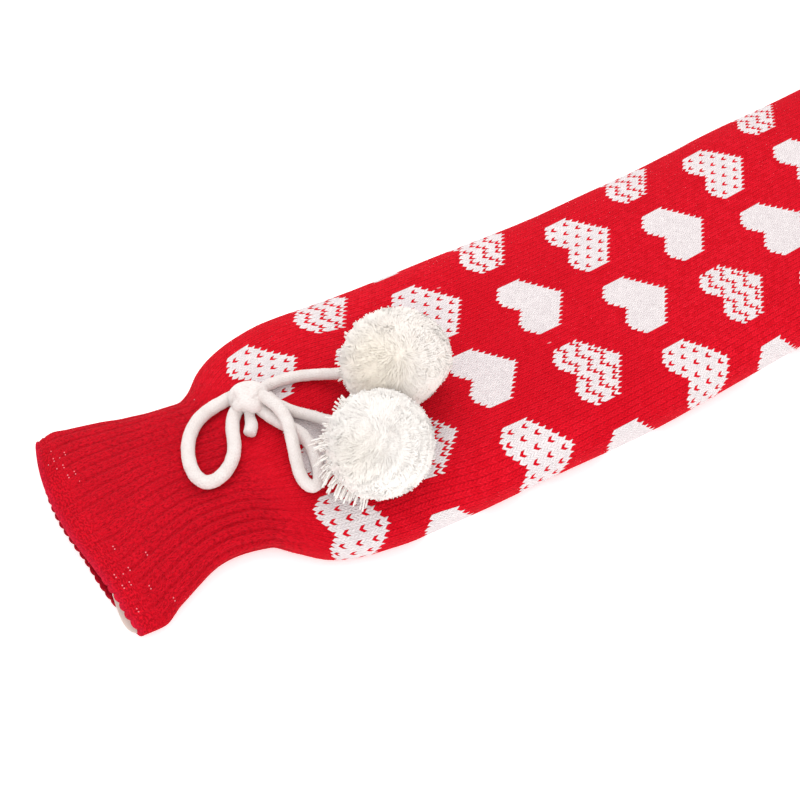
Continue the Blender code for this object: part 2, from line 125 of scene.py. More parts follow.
# x | middle across | half width | crown height, in millimetres | squareness of the top
SECTIONS = np.array([
    (-372.5, 14.2, 52.6, 13.0, 2.3),
    (-361.0, 14.2, 53.6, 13.8, 2.3),
    (-349.0, 15.2, 50.0, 15.0, 2.3),
    (-337.0, 15.4, 45.5, 16.2, 2.3),
    (-327.0, 14.6, 41.8, 17.4, 2.3),
    (-316.0, 12.3, 40.2, 18.6, 2.4),
    (-306.0, 9.4, 40.6, 19.8, 2.4),
    (-299.0, 6.4, 45.6, 20.7, 2.5),
    (-291.0, 5.2, 53.4, 21.6, 2.6),
    (-282.0, 4.7, 58.4, 22.3, 2.7),
    (-270.0, 4.4, 61.7, 22.8, 2.8),
    (-254.0, 3.2, 63.7, 23.3, 2.9),
    (-234.0, 0.9, 63.2, 23.8, 3.0),
    (-204.0, -1.5, 62.5, 23.8, 3.0),
    (-159.0, -5.0, 61.8, 23.8, 3.0),
    (-104.0, -6.8, 60.5, 23.8, 3.0),
    (-24.0, -5.8, 59.4, 23.8, 3.0),
    (106.0, -6.0, 59.4, 23.8, 3.0),
    (256.0, -6.2, 59.4, 23.8, 3.0),
    (336.0, -6.2, 58.6, 22.9, 3.0),
    (356.0, -6.2, 56.0, 20.2, 2.8),
    (366.0, -6.2, 52.2, 16.0, 2.6),
    (371.5, -6.2, 47.0, 11.0, 2.4),
    (373.0, -6.2, 43.5, 7.6, 2.2),
])

# Cord routes, in millimetres: x | y | how far the cord is lifted off the knitting, if it is.
LEFT_LOOP = (
    (-280.4, 29.7), (-285.8, 30.6), (-290.4, 30.8), (-296.3, 30.9), (-302.3, 29.9), (-307.9, 27.0),
    (-312.8, 22.2), (-316.3, 16.2), (-318.2, 10.2), (-318.3, 4.8), (-316.2, 0.9), (-311.8, -0.2),
    (-306.3, 1.4), (-301.5, 5.2), (-298.3, 10.1), (-295.9, 15.6), (-293.0, 20.4), (-289.8, 23.4),
    (-285.4, 25.2),
)
RIGHT_LOOP = (
    (-280.4, 24.7, 4.6), (-278.3, 19.0, 5.6), (-276.9, 13.4, 5.9), (-276.5, 7.8, 6.0),
    (-277.3, 2.0, 6.0), (-279.1, -3.4, 5.2), (-281.0, -8.6, 3.2), (-282.7, -13.4, 1.2),
    (-283.9, -18.0, 0.2), (-284.1, -22.2), (-282.7, -25.0), (-280.1, -25.0), (-278.0, -22.7),
    (-276.1, -18.4), (-274.5, -12.8), (-273.5, -7.2), (-273.7, -1.8), (-275.3, 3.0), (-277.5, 7.2),
    (-279.3, 11.6), (-280.6, 15.8), (-281.2, 19.6), (-281.3, 23.2),
)
TAIL_FAR = (
    (-280.2, 26.0, 0.8), (-276.2, 27.0, 0.3), (-271.4, 27.3), (-266.2, 26.5), (-260.7, 24.8),
    (-255.4, 22.1, 0.2), (-250.6, 18.3, 1.4), (-245.9, 13.5, 3.8),
)
TAIL_NEAR = (
    (-275.3, 22.6), (-274.2, 17.2), (-271.8, 12.2), (-268.8, 7.8), (-265.8, 3.6, 0.6),
    (-263.6, -1.4, 2.4), (-262.0, -6.8, 5.6),
)
STUB = ((-284.6, 22.6, 1.0), (-286.7, 17.6, 0.4), (-288.4, 13.6), (-291.4, 10.4))
POMPOM_FAR = np.array([-228.9, -3.0, 42.8]) * MM
POMPOM_NEAR = np.array([-256.2, -33.4, 42.4]) * MM
SIDE_LEFT = np.array([-0.843, 0.538, 0.0])     # the pompoms' sides where strands are loose
SIDE_UP = np.array([0.428, 0.671, 0.606])
COMB_POLE = np.array([-0.30, -0.47, 0.83])     # the pile lies away from this side
PILE_FLAT = -SIDE_LEFT - 1.3 * SIDE_UP         # and the far one is pressed flat on this one
FLAT_FROM = 0.6


# ---------------- the tube's form
def slopes(table):
    """Slopes of a smooth curve through the table's rows that never overshoots them."""
    steps = np.diff(table[:, :1], axis=0)
    rise = np.diff(table[:, 1:], axis=0) / steps
    before, after = rise[:-1], rise[1:]
    weight_a = 2 * steps[1:] + steps[:-1]
    weight_b = steps[1:] + 2 * steps[:-1]
    same_way = before * after > 0
    safe_a = np.where(same_way, before, 1.0)
    safe_b = np.where(same_way, after, 1.0)
    mean = (weight_a + weight_b) / (weight_a / safe_a + weight_b / safe_b)
    return np.vstack([rise[:1], np.where(same_way, mean, 0.0), rise[-1:]])


SECTION_SLOPES = slopes(SECTIONS)


def section(x):
    """Middle, half width, crown and squareness at each x: cubic pieces through SECTIONS."""
    stations = SECTIONS[:, 0]
    at = np.clip(np.asarray(x, float) / MM, stations[0], stations[-1])
    row = np.clip(np.searchsorted(stations, at, side="right") - 1, 0, len(stations) - 2)
    step = (stations[row + 1] - stations[row])[..., None]
    t = (at - stations[row])[..., None] / step
    values = ((2 * t ** 3 - 3 * t ** 2 + 1) * SECTIONS[row, 1:]
              + (t ** 3 - 2 * t ** 2 + t) * step * SECTION_SLOPES[row]
              + (3 * t ** 2 - 2 * t ** 3) * SECTIONS[row + 1, 1:]
              + (t ** 3 - t ** 2) * step * SECTION_SLOPES[row + 1])
    middle, half, crown, power = np.moveaxis(values, -1, 0)
    return middle * MM, half * MM, crown * MM, power


def smooth_step(value, low, high):
    """0 below low, 1 above high, and 3t^2 - 2t^3 between them."""
    t = np.clip((value - low) / (high - low), 0.0, 1.0)
    return t * t * (3 - 2 * t)


def bell(value, middle, spread):
    """exp(-((value - middle) / spread)^2)."""
    return np.exp(-((value - middle) / spread) ** 2)


def rings(x, inset, columns):
    """Evenly spaced (y, z) around the section at each x, drawn in by its inset.

    Each section is two half superellipses, |cos/wide|^n + |sin/tall|^n = 1, whose lower
    one is cut flat at the floor. Points start under the middle and rise on the far side.
    """
    middle, half, crown, power = (value[:, None] for value in section(x))
    inset = inset[:, None]
    edge = EDGE_SHARE * crown
    angle = np.linspace(-math.pi / 2, 1.5 * math.pi, SECTION_POINTS)[None, :]
    cosine, sine = np.cos(angle), np.sin(angle)
    over = sine >= 0
    tall = np.where(over, crown - inset - edge, UNDERSIDE_DROP * edge)
    square = np.where(over, power, UNDERSIDE_POWER)
    wide = half - inset
    radius = ((np.abs(cosine) / wide) ** square + (np.abs(sine) / tall) ** square) ** (-1 / square)
    y = middle + radius * cosine
    z = np.maximum(edge + radius * sine, inset)
    length = np.cumsum(np.hypot(np.diff(y, axis=1), np.diff(z, axis=1)), axis=1)
    length = np.hstack([np.zeros((len(x), 1)), length])
    lane = 2.0 * np.arange(len(x))[:, None]
    shares = (length / length[:, -1:] + lane).ravel()
    wanted = (np.arange(columns)[None, :] / columns + lane).ravel()
    shape = (len(x), columns)
    return np.interp(wanted, shares, y.ravel()).reshape(shape), \
        np.interp(wanted, shares, z.ravel()).reshape(shape)


def relief(x, around):
    """How far the neck stands proud: cos(ribs), higher within a bell at the waist's near side."""
    fade = 1 - smooth_step(x, RIB_END_X, RIB_END_X + RIB_FADE)
    gather = bell(x, GATHER_X, GATHER_LENGTH) * bell(around, GATHER_AROUND, GATHER_SPREAD)
    return fade * (RIB_HIGH + GATHER_HIGH * gather) * np.cos(TURN * (RIBS * around - RIB_TOP))


def mouth_shift(x, y, z):
    """The station x, drawn back at the mouth by a power of the share across, other on the far
    side than on the near one, more at the very corners and on the far lower lip."""
    middle, half, crown, _ = section(x)
    side = (y - middle) / half
    out = np.abs(side)
    back = np.where(side > 0, FAR_BACK * out ** FAR_POWER, NEAR_BACK * out ** NEAR_POWER)
    back = back - MOUTH_OUT - CORNER_OUT * np.minimum(out, 1.0) ** CORNER_POWER
    back = back - NEAR_OUT * bell(side, *NEAR_BELL)
    lower = LOWER_BACK * smooth_step(side, -0.5, 0.2) + LOWER_OUT * bell(side, *LOWER_BELL)
    back = back + lower * smooth_step(0.5 - z / crown, 0.0, 0.4)
    return x + back * (1 - smooth_step(x, MOUTH_X, MOUTH_X + CORNER_LENGTH))


def top_height(x, y):
    """Height of the tube's top at (x, y), over the ribs."""
    middle, half, crown, power = section(x)
    edge = EDGE_SHARE * crown
    side = np.minimum(np.abs(y - middle) / half, 0.98)
    over_ribs = LAID_OVER * (1 - smooth_step(x, *RIBS_FELT))
    return edge + (crown - edge) * (1 - side ** power) ** (1 / power) + over_ribs


def on_top(x, y, clear):
    """The point that lies clear of the tube's top, square to it, at (x, y)."""
    step = 1.0 * MM
    rise_x = (top_height(x + step, y) - top_height(x - step, y)) / (2 * step)
    rise_y = (top_height(x, y + step) - top_height(x, y - step)) / (2 * step)
    normal = np.array([-rise_x, -rise_y, 1.0])
    normal /= np.linalg.norm(normal)
    return np.array([x, y, top_height(x, y)]) + clear * normal


# ---------------- paths of the cords
def walked(path):
    """The distance along a line of points at each of them."""
    steps = np.linalg.norm(np.diff(path, axis=0), axis=1)
    return np.concatenate([[0.0], np.cumsum(steps)])


def smooth_path(points, step):
    """Evenly spaced points on a Catmull-Rom curve through the given points."""
    points = np.asarray(points)
    ends = np.vstack([2 * points[0] - points[1], points, 2 * points[-1] - points[-2]])
    t = np.linspace(0, 1, 24, endpoint=False)[:, None]
    pieces = []
    for a, b, c, d in zip(ends, ends[1:], ends[2:], ends[3:]):
        pieces.append(0.5 * (2 * b + (c - a) * t + (2 * a - 5 * b + 4 * c - d) * t ** 2
                             + (3 * b - a - 3 * c + d) * t ** 3))
    curve = np.vstack(pieces + [points[-1:]])
    along = walked(curve)
    wanted = np.linspace(0, along[-1], max(4, round(along[-1] / step) + 1))
    return np.stack([np.interp(wanted, along, curve[:, k]) for k in range(3)], axis=1)


def laid(route, radius=CORD_RADIUS):
    """A route table as the middle line of a cord that lies on the tube."""
    return [on_top(x * MM, y * MM, radius + GAP + sum(lift) * MM) for x, y, *lift in route]


def unit(vectors):
    """Vectors of length 1."""
    return vectors / np.linalg.norm(vectors, axis=-1, keepdims=True)


def tail_points(route, pompom):
    """A tail's route with its end a few millimetres inside the pompom's head."""
    x, y = route[-1][:2]
    way = unit(on_top(x * MM, y * MM, TAIL_AIM) - pompom)
    return laid(route) + [pompom + way * (HEAD_RADIUS + GAP), pompom + way * (HEAD_RADIUS - TAIL_IN)]


KNOT_MIDDLE = on_top(*KNOT_PLACE, KNOT_HALF[2] + GAP)


# ---------------- mesh helpers
def quads(rows, columns, folded=False):
    """Quads between rings of points, and the same corners counted with the seam twice.
    Where folded, quads that join a ring's two halves close both ends."""
    i, j = np.meshgrid(np.arange(rows - 1), np.arange(columns), indexing="ij")
    i, j = i.reshape(-1, 1), j.reshape(-1, 1)
    row, column = np.hstack([i, i, i + 1, i + 1]), np.hstack([j, j + 1, j + 1, j])
    if folded:
        j = np.arange(columns // 2 - 1)[:, None]
        fold = np.hstack([j, columns - 1 - j, columns - 2 - j, j + 1])
        row = np.vstack([row, 0 * fold, 0 * fold + rows - 1])
        column = np.vstack([column, fold, fold[:, ::-1]])
    return row * columns + column % columns, row * (columns + 1) + column


def new_piece(name, points, face_sets, finish, maps=None, marks=None, normals=None):
    """A mesh object from arrays. maps are UV maps, one (u, v) a face corner; marks are
    numbers and normals are directions of shading, one a point."""
    mesh = bpy.data.meshes.new(name)
    loops = np.concatenate([faces.ravel() for faces in face_sets]).astype(np.int32)
    sizes = np.concatenate([np.full(len(faces), faces.shape[1]) for faces in face_sets])
    starts = np.concatenate([[0], np.cumsum(sizes)[:-1]]).astype(np.int32)
    mesh.vertices.add(len(points))
    mesh.vertices.foreach_set("co", np.asarray(points, np.float32).ravel())
    mesh.loops.add(len(loops))
    mesh.loops.foreach_set("vertex_index", loops)
    mesh.polygons.add(len(sizes))
    mesh.polygons.foreach_set("loop_start", starts)
    mesh.update(calc_edges=True)
    for key, values in (maps or {}).items():
        layer = mesh.uv_layers.new(name=key)
        layer.data.foreach_set("uv", np.asarray(values, np.float32).ravel())
    for key, values in (marks or {}).items():
        layer = mesh.attributes.new(key, "FLOAT", "POINT")
        layer.data.foreach_set("value", np.asarray(values, np.float32).ravel())
    mesh.polygons.foreach_set("use_smooth", np.full(len(sizes), True))
    if normals is not None:
        mesh.normals_split_custom_set_from_vertices(normals)
    mesh.materials.append(finish)
    piece = bpy.data.objects.new(name, mesh)
    bpy.context.scene.collection.objects.link(piece)
    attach(piece, "root")
    return piece


def facing_out(points, faces, *others):
    """Quads, and faces and corners made with them, turned over if they look inwards: if the
    sum of a . (b x c) over their halves, six times the volume inside, is below zero."""
    a, b, c, d = (points[faces[:, k]] for k in range(4))
    inwards = (a * np.cross(b, c)).sum() + (a * np.cross(c, d)).sum() < 0
    return [each[:, ::-1] if inwards else each for each in (faces, *others)]


def globe(rows, columns):
    """Directions in rows from pole to pole: (sin t cos a, sin t sin a, cos t)."""
    tilt = np.linspace(0, math.pi, rows)[:, None]
    turn = np.linspace(0, TURN, columns, endpoint=False)[None, :]
    return np.stack(np.broadcast_arrays(np.sin(tilt) * np.cos(turn), np.sin(tilt) * np.sin(turn),
                                        np.cos(tilt)), -1)


# ---------------- shader maths
class Value:
    """A number in a material that takes Python's operators."""

    def __init__(self, finish, socket):
        self.finish, self.socket = finish, socket

    def maths(self, operation, *others):
        """This number through one Math node."""
        links = {0: self, **{i + 1: other for i, other in enumerate(others)}}
        return self.finish.value("ShaderNodeMath", {"operation": operation}, links)

    def __rsub__(self, other):
        return (self * -1) + other

    def ramp(self, low, high):
        """0 at low and 1 at high, smoothly, and clamped."""
        settings = {"interpolation_type": "SMOOTHSTEP"}
        return self.finish.value("ShaderNodeMapRange", settings, {0: self, 1: low, 2: high})


OPERATIONS = {
    "__add__": "ADD", "__radd__": "ADD", "__sub__": "SUBTRACT", "__mul__": "MULTIPLY",
    "__rmul__": "MULTIPLY", "__truediv__": "DIVIDE", "__mod__": "FLOORED_MODULO",
    "__pow__": "POWER", "__abs__": "ABSOLUTE", "__gt__": "GREATER_THAN", "__lt__": "LESS_THAN",
    "floor": "FLOOR", "part": "FRACT", "least": "MINIMUM", "most": "MAXIMUM",
}
for method, operation in OPERATIONS.items():
    setattr(Value, method, partialmethod(Value.maths, operation))


class Finish:
    """A material made of nodes, with a Principled shader at its end."""

    def __init__(self, name, roughness=0.9, specular=0.2, sheen=0.0, sheen_tint=(1, 1, 1)):
        self.material = bpy.data.materials.new(name)
        self.material.use_nodes = True
        self.tree = self.material.node_tree
        self.shader = self.tree.nodes["Principled BSDF"]
        self.set(self.shader, {"Roughness": roughness, "Specular IOR Level": specular,
                               "Sheen Weight": sheen, "Sheen Roughness": 0.45,
                               "Sheen Tint": (*sheen_tint, 1.0)})

    def set(self, node, values):
        """Give a node's sockets numbers, colours or links."""
        for key, value in values.items():
            socket = node.inputs[key]
            if isinstance(value, Value):
                value = value.socket
            if isinstance(value, bpy.types.NodeSocket):
                self.tree.links.new(value, socket)
            else:
                socket.default_value = value

    def node(self, kind, settings=None, values=None, output=0):
        """A new node's output, its settings made before its sockets are filled."""
        node = self.tree.nodes.new(kind)
        for key, value in (settings or {}).items():
            setattr(node, key, value)
        self.set(node, values or {})
        return node.outputs[output]

    def value(self, kind, settings=None, values=None, output=0):
        """The same, as a number for sums."""
        return Value(self, self.node(kind, settings, values, output))

    def map(self, name):
        """The two numbers of a UV map."""
        split = self.tree.nodes.new("ShaderNodeSeparateXYZ")
        self.tree.links.new(self.node("ShaderNodeUVMap", {"uv_map": name}), split.inputs[0])
        return Value(self, split.outputs[0]), Value(self, split.outputs[1])

    def mark(self, name):
        """A number that the mesh carries."""
        return self.value("ShaderNodeAttribute", {"attribute_name": name}, output="Fac")

    def mix(self, share, first, second):
        """first where share is 0 and second where it is 1."""
        settings = {"data_type": "RGBA", "clamp_factor": True}
        return self.node("ShaderNodeMix", settings, {0: share, 6: first, 7: second}, 2)

    def layers(self, colour, *layers):
        """A colour with others laid over it in turn, each a share and three screen values."""
        for share, *screen in layers:
            colour = self.mix(share, colour, rgb(*screen))
        return colour

    def place(self, first, second):
        """Two numbers as a place on a plane."""
        return self.node("ShaderNodeCombineXYZ", {}, {0: first, 1: second})

    def noise(self, scale, detail=2.0, at=None):
        """Soft noise from 0 to 1, on the object's own coordinates unless a place is given."""
        at = at or self.node("ShaderNodeTexCoord", output="Object")
        return self.value("ShaderNodeTexNoise", {}, {"Vector": at, "Scale": scale, "Detail": detail})

    def dice(self, first, second):
        """A number from 0 to 1 that belongs to two whole numbers."""
        cell = self.place(first, second)
        return self.value("ShaderNodeTexWhiteNoise", {"noise_dimensions": "2D"}, {"Vector": cell})

    def bump(self, height, distance):
        """Relief of a height from 0 to 1."""
        values = {"Height": height, "Distance": distance, "Strength": 1.0}
        self.set(self.shader, {"Normal": self.node("ShaderNodeBump", {}, values)})


def rgb(red, green, blue):
    """A colour given in 0-255 screen values, as linear light."""
    screen = np.array([red, green, blue]) / 255
    return (*np.where(screen > 0.04045, ((screen + 0.055) / 1.055) ** 2.4, screen / 12.92), 1.0)


# ---------------- finishes
CORD_SLANT, CORD_DEEP = 0.8, 0.3 * MM
LEG_SLANT = 0.9                # how far a stitch's legs run on, in courses
STITCH_DEEP = 0.45 * MM
HEART_WIDE, HEART_LONG = 15, 16                # of the chart, in wales and courses
LINES_APART, ROWS_APART = 20, 48               # the lines of one kind of heart, and its rows
RIDGES_AT, RIDGE_REACH = (0.15, 0.69), 0.15    # in a rib, as shares of it
PURL_AT, PURL_REACH = (0.93, -0.07), 0.24
HEM_ROWS = (3.0, 6.0)
LINT_CHANCE = 0.9993           # a stitch whose dice fall above it carries a pale speck


def heart_rows(wale, course, first, shift, from_row, to_row):
    """Which stitches lie in the hearts of the lines first, first + 20, ... of the chart.

    A heart is 15 wales wide and 16 courses long: in the wale that is d away from its
    middle it runs from course max(|d - 4| - 1, 0) to course 16 - d. Returns the heart's
    mask, d, its course and the line's number.
    """
    line = ((wale - (first - LINES_APART / 2)) / LINES_APART).floor()
    away = abs(wale - line * LINES_APART - first)
    row = ((course - shift) / ROWS_APART).floor()
    at = course - shift - row * ROWS_APART
    starts = (abs(away - 4) - 1).most(0)
    inside = (at > starts - 0.5) * (at + away < HEART_LONG - 0.5) * (away < HEART_WIDE / 2)
    inside = inside * (line > -0.5) * (line < 5.5) * (row > from_row - 0.5) * (row < to_row + 0.5)
    return inside, away, at, line


def chart_colour(finish):
    """Mask of the white stitches, height of the stitches, and each stitch's place."""
    u, v = finish.map("stitches")
    side = abs(u.part() - 0.5) * 2
    row = v - side * LEG_SLANT
    wale, course = u.floor(), row.floor()

    near, away, at, line = heart_rows(wale, course, 6, 0, 2, 9)
    fold = (away % 4).least(4 - away % 4)
    zigzag = ((at - fold) % 4 > 1.5) * ((at - fold) % 4 < 2.5) * (at - fold < 12)
    even = 1 - line % 2
    first = near * (1 - even * zigzag)
    near, away, at, line = heart_rows(wale, course, 15, 24, 1, 8)
    spots = (away % 2 < 0.5) * ((at + away) % 4 > 0.5) * ((at + away) % 4 < 1.5)
    second = near * (1 - (line % 2) * spots)
    white = (first + second).least(1)

    leg = row.part()
    round_leg = leg * (1 - leg) * 4
    across = 1 - abs(side * 2 - 1) ** 2
    height = (round_leg ** 0.7 * 0.7 + 0.3) * (across * 0.55 + 0.45)
    return white, height, side, u, wale, course


def near_to(value, middle, reach):
    """1 where a number is at middle, and 0 from reach on."""
    return 1 - abs(value - middle).ramp(0.0, reach)


def rib_stitches(finish):
    """The neck's ribs: two soft ridges that wander, a lower purl band, and spots between the stitches
    where painted shade falls, which run along the ribs and by the hem along the mouth."""
    rib, course = finish.map("ribs")

    def fleck(around, along, low, high):
        """Spots, this many across a rib and in a row of stitches."""
        return finish.noise(1.0, 1.0, finish.place(rib * around, course * along)).ramp(low, high)

    sway, strong = finish.noise(48.0, 1.0), finish.noise(36.0, 1.0).ramp(0.32, 0.62)
    across = (rib + (sway - 0.5) * 0.4 + 0.12).part()
    ridges, purl = (near_to(across, at[0], reach) + near_to(across, at[1], reach)
                    for at, reach in ((RIDGES_AT, RIDGE_REACH), (PURL_AT, PURL_REACH)))
    ridges, purl = ridges * (strong * 0.7 + 0.3), purl * (strong * 0.6 + 0.4)
    hem = 1 - course.ramp(*HEM_ROWS)
    # spots in the gaps between stitches, where painted shade darkens the neck and the bump sinks
    shaded_gaps = fleck(9.8, 1.35, 0.50, 0.62) * 0.7 + fleck(17, 2.9, 0.45, 0.62) * 0.5
    shaded_gaps = shaded_gaps + (fleck(5.0, 3.0, 0.42, 0.60) - shaded_gaps) * hem
    return rib, course, ridges, shaded_gaps, purl, hem


def pinholes(finish, rib, course):
    """Round gaps of the stretched hem, two or three side by side in a rib, every HOLE_PITCH:
    a throw of dice for each group against the mark of how open the knitting is there."""
    column = course * (NECK_COURSE / HOLE_PITCH)
    place = rib.part() * HOLES_A_RIB
    group = finish.dice(rib.floor(), column.floor())
    single = finish.dice(place.floor() + rib.floor() * 7, column.floor())
    across, along = (place.part() - 0.5) * 1.4, (column.part() - 0.5) * 3.25
    round_it = 1 - (across * across + along * along).ramp(0.02, 0.13)
    return round_it * (place > 2.2) * (finish.mark("holes") > group) * (single > 0.2)


def knit_finish(name, on_cover):
    """Red and white knitting: the chart's colours, with painted shade between the stitches and each
    stitch's tone a little different, the neck's ribs with painted shade and highlight, pinholes,
    specks of lint, and on the cover a painted highlight on the mouth's upper edge and painted shade
    inside it."""
    finish = Finish(name, roughness=0.9, specular=0.06, sheen=0.04, sheen_tint=(1.0, 0.35, 0.45))
    white, height, side, u, wale, course = chart_colour(finish)
    rib, row, ridges, shaded_gaps, purl, hem = rib_stitches(finish)
    neck = finish.mark("neck")
    chance, lint = finish.dice(wale, course), finish.dice(course, wale)
    cloud = finish.noise(14.0).ramp(0.35, 0.7)
    patch = finish.noise(70.0, 2.0).ramp(0.35, 0.65)
    grain = finish.noise(900.0, 2.0).ramp(0.3, 0.7)
    # painted shade: darker where a stitch lies low and at the sides of its wale, in the gaps between
    # stitches
    between = (1 - height) * 0.45 + side.ramp(0.6, 1.0) * (grain * 0.5 + 0.06)
    speck = (side > 0.6) * (u.part() < 0.5) * (lint > LINT_CHANCE) * (neck < 0.05)
    red = finish.layers(finish.mix(chance, rgb(215, 10, 30), rgb(233, 21, 42)),
                        (cloud * 0.6, 212, 10, 31),
                        # painted shade in the gaps between the body's stitches
                        (between * (1 - neck), 150, 1, 14),
                        # painted shade: the neck's darker red, in place of the shade between stitches
                        # that the body gets
                        (neck, 213, 13, 33),
                        (patch * neck * 0.4, 190, 8, 26),
                        # painted shade in the rib's lower purl band
                        (purl * (1 - hem) * neck * 0.5, 160, 2, 16),
                        # painted shade in the gaps between the neck's stitches
                        (shaded_gaps * neck * 0.65, 132, 0, 9),
                        # painted highlight on the rib's raised ridges, mixed with random grain
                        ((ridges * 0.22 + grain * 0.18) * neck, 217, 28, 48))
    pale = finish.layers(finish.mix(chance, rgb(228, 221, 222), rgb(237, 231, 231)),
                         # painted shade, pinkish, in the gaps between the white stitches
                         ((1 - height) * 0.3, 216, 176, 180))
    colour = finish.layers(finish.mix(white, red, pale), (speck * 0.7, 245, 205, 205))
    if on_cover:
        # painted highlight along the upper lip's turned edge, and painted shade on the mouth's lower
        # inner face
        colour = finish.layers(colour, (finish.mark("edge") * 0.35, 202, 40, 72),
                               (finish.mark("inside") * 0.6, 136, 6, 28),
                               (pinholes(finish, rib, row) * 0.75, 250, 170, 178))
        ribbed = ridges * 0.35 - shaded_gaps * 0.5 - purl * 0.25 + 0.5
        finish.bump(height + (ribbed - height) * neck + grain * 0.3, STITCH_DEEP)
    finish.set(finish.shader, {"Base Color": colour})
    return finish.material


def yarn_finish(name, light, shade):
    """Soft off-white knitted cord: V stitches around it with painted shade between them, faint speckle.
    """
    finish = Finish(name, roughness=0.85, specular=0.1, sheen=0.15)
    turn, along = finish.map("stitches")
    side = abs(turn.part() - 0.5) * 2
    leg = (along - side * CORD_SLANT).part()
    height = (leg * (1 - leg) * 4) ** 0.6 * (1 - abs(side * 2 - 1) ** 3 * 0.5)
    speck, cloud = finish.noise(900.0, 1.0), finish.noise(260.0, 2.0)
    # painted shade in the gaps between the cord's stitches, with random speckle and mottle
    dark = (1 - height) * 0.3 + speck.ramp(0.5, 0.75) * 0.25 + cloud.ramp(0.4, 0.7) * 0.4
    finish.set(finish.shader, {"Base Color": finish.mix(dark, light, shade)})
    finish.bump(height * 0.6 + speck * 0.5 + cloud * 1.2, CORD_DEEP)
    return finish.material


def pile_finish(name, light, cream, root, warm_place, warm_size):
    """Cut pile: painted shade that darkens it towards the roots, a tone a little different from
    strand to strand, and a warmer patch on one side."""
    finish = Finish(name, roughness=0.95, specular=0.03, sheen=0.1)
    depth, chance = finish.mark("depth"), finish.mark("chance")
    at = finish.node("ShaderNodeTexCoord", output="Object")
    away = finish.value("ShaderNodeVectorMath", {"operation": "DISTANCE"},
                        {0: at, 1: warm_place}, "Value")
    warm = 1 - away.ramp(0.2 * warm_size, warm_size)
    colour = finish.mix(warm * 0.7 + chance * 0.15, light, cream)
    # painted shade deep in the pile, towards the strands' roots
    colour = finish.mix((1 - depth.ramp(0.0, 0.7)) * 0.4, colour, root)
    finish.set(finish.shader, {"Base Color": colour})
    return finish.material


def plain_finish(name, colour, roughness, glow=0.0):
    """An even matt colour, lit from within where it has a glow."""
    finish = Finish(name, roughness=roughness, specular=0.1)
    finish.set(finish.shader, {"Base Color": colour, "Emission Color": (1.0, 1.0, 1.0, 1.0),
                               "Emission Strength": glow})
    return finish.material


# ---------------- the cover
COLUMNS = 12 * RIBS
LIP = WALL / 2
LIP_TURN = np.linspace(0, math.pi, 7)
INSIDE_X = np.concatenate([np.linspace(INNER_END_X, -250 * MM, 9), np.arange(-256, -330, -3.75) * MM,
                           np.linspace(-336 * MM, MOUTH_X + LIP + 4 * MM, 6)])
FIRST_OUTSIDE = len(INSIDE_X) + len(LIP_TURN)    # rows before the outside of the wall begins
# x | y | spread along | spread across, in millimetres | how open at the middle
OPEN_SPOTS = ((-360.5, -20, 6, 15, 0.8), (-352, -24, 9, 10, 0.12), (-361, 46, 8, 13, 0.32),
              (-296, 46, 5, 5, 0.12), (-302, 8, 5, 5, 0.12))
# how the far end closes: share of the way in to the seam | thickness, in seams | how far out
SEAM_RINGS = ((0.35, 4.4, 0.25), (0.65, 2.4, 0.35), (0.85, 1.2, 0.5), (1.0, 1.0, 0.8),
              (1.0, 0.9, 1.1), (1.0, 0.45, 1.25))


def cover_stations():
    """x and inset of every row of the tube's wall: along the inside to the mouth, round
    its lip on a half circle, and along the outside to the far end."""
    neck = np.arange(MOUTH_X + LIP + 1.0 * MM, -297 * MM, 1.15 * MM)
    shoulder = np.arange(-296 * MM, -246 * MM, 2.4 * MM)
    body = np.linspace(-243 * MM, 322 * MM, 56)
    end = np.array([328, 334, 340, 346, 351, 355.5, 359.5, 363, 366, 368.5, 370.5, 372, 373]) * MM
    outside = np.concatenate([neck, shoulder, body, end])
    x = np.concatenate([INSIDE_X, MOUTH_X + LIP - LIP * np.sin(LIP_TURN), outside])
    inset = np.concatenate([np.full(len(INSIDE_X), WALL), LIP * (1 + np.cos(LIP_TURN)),
                            np.zeros(len(outside))])
    return x, inset


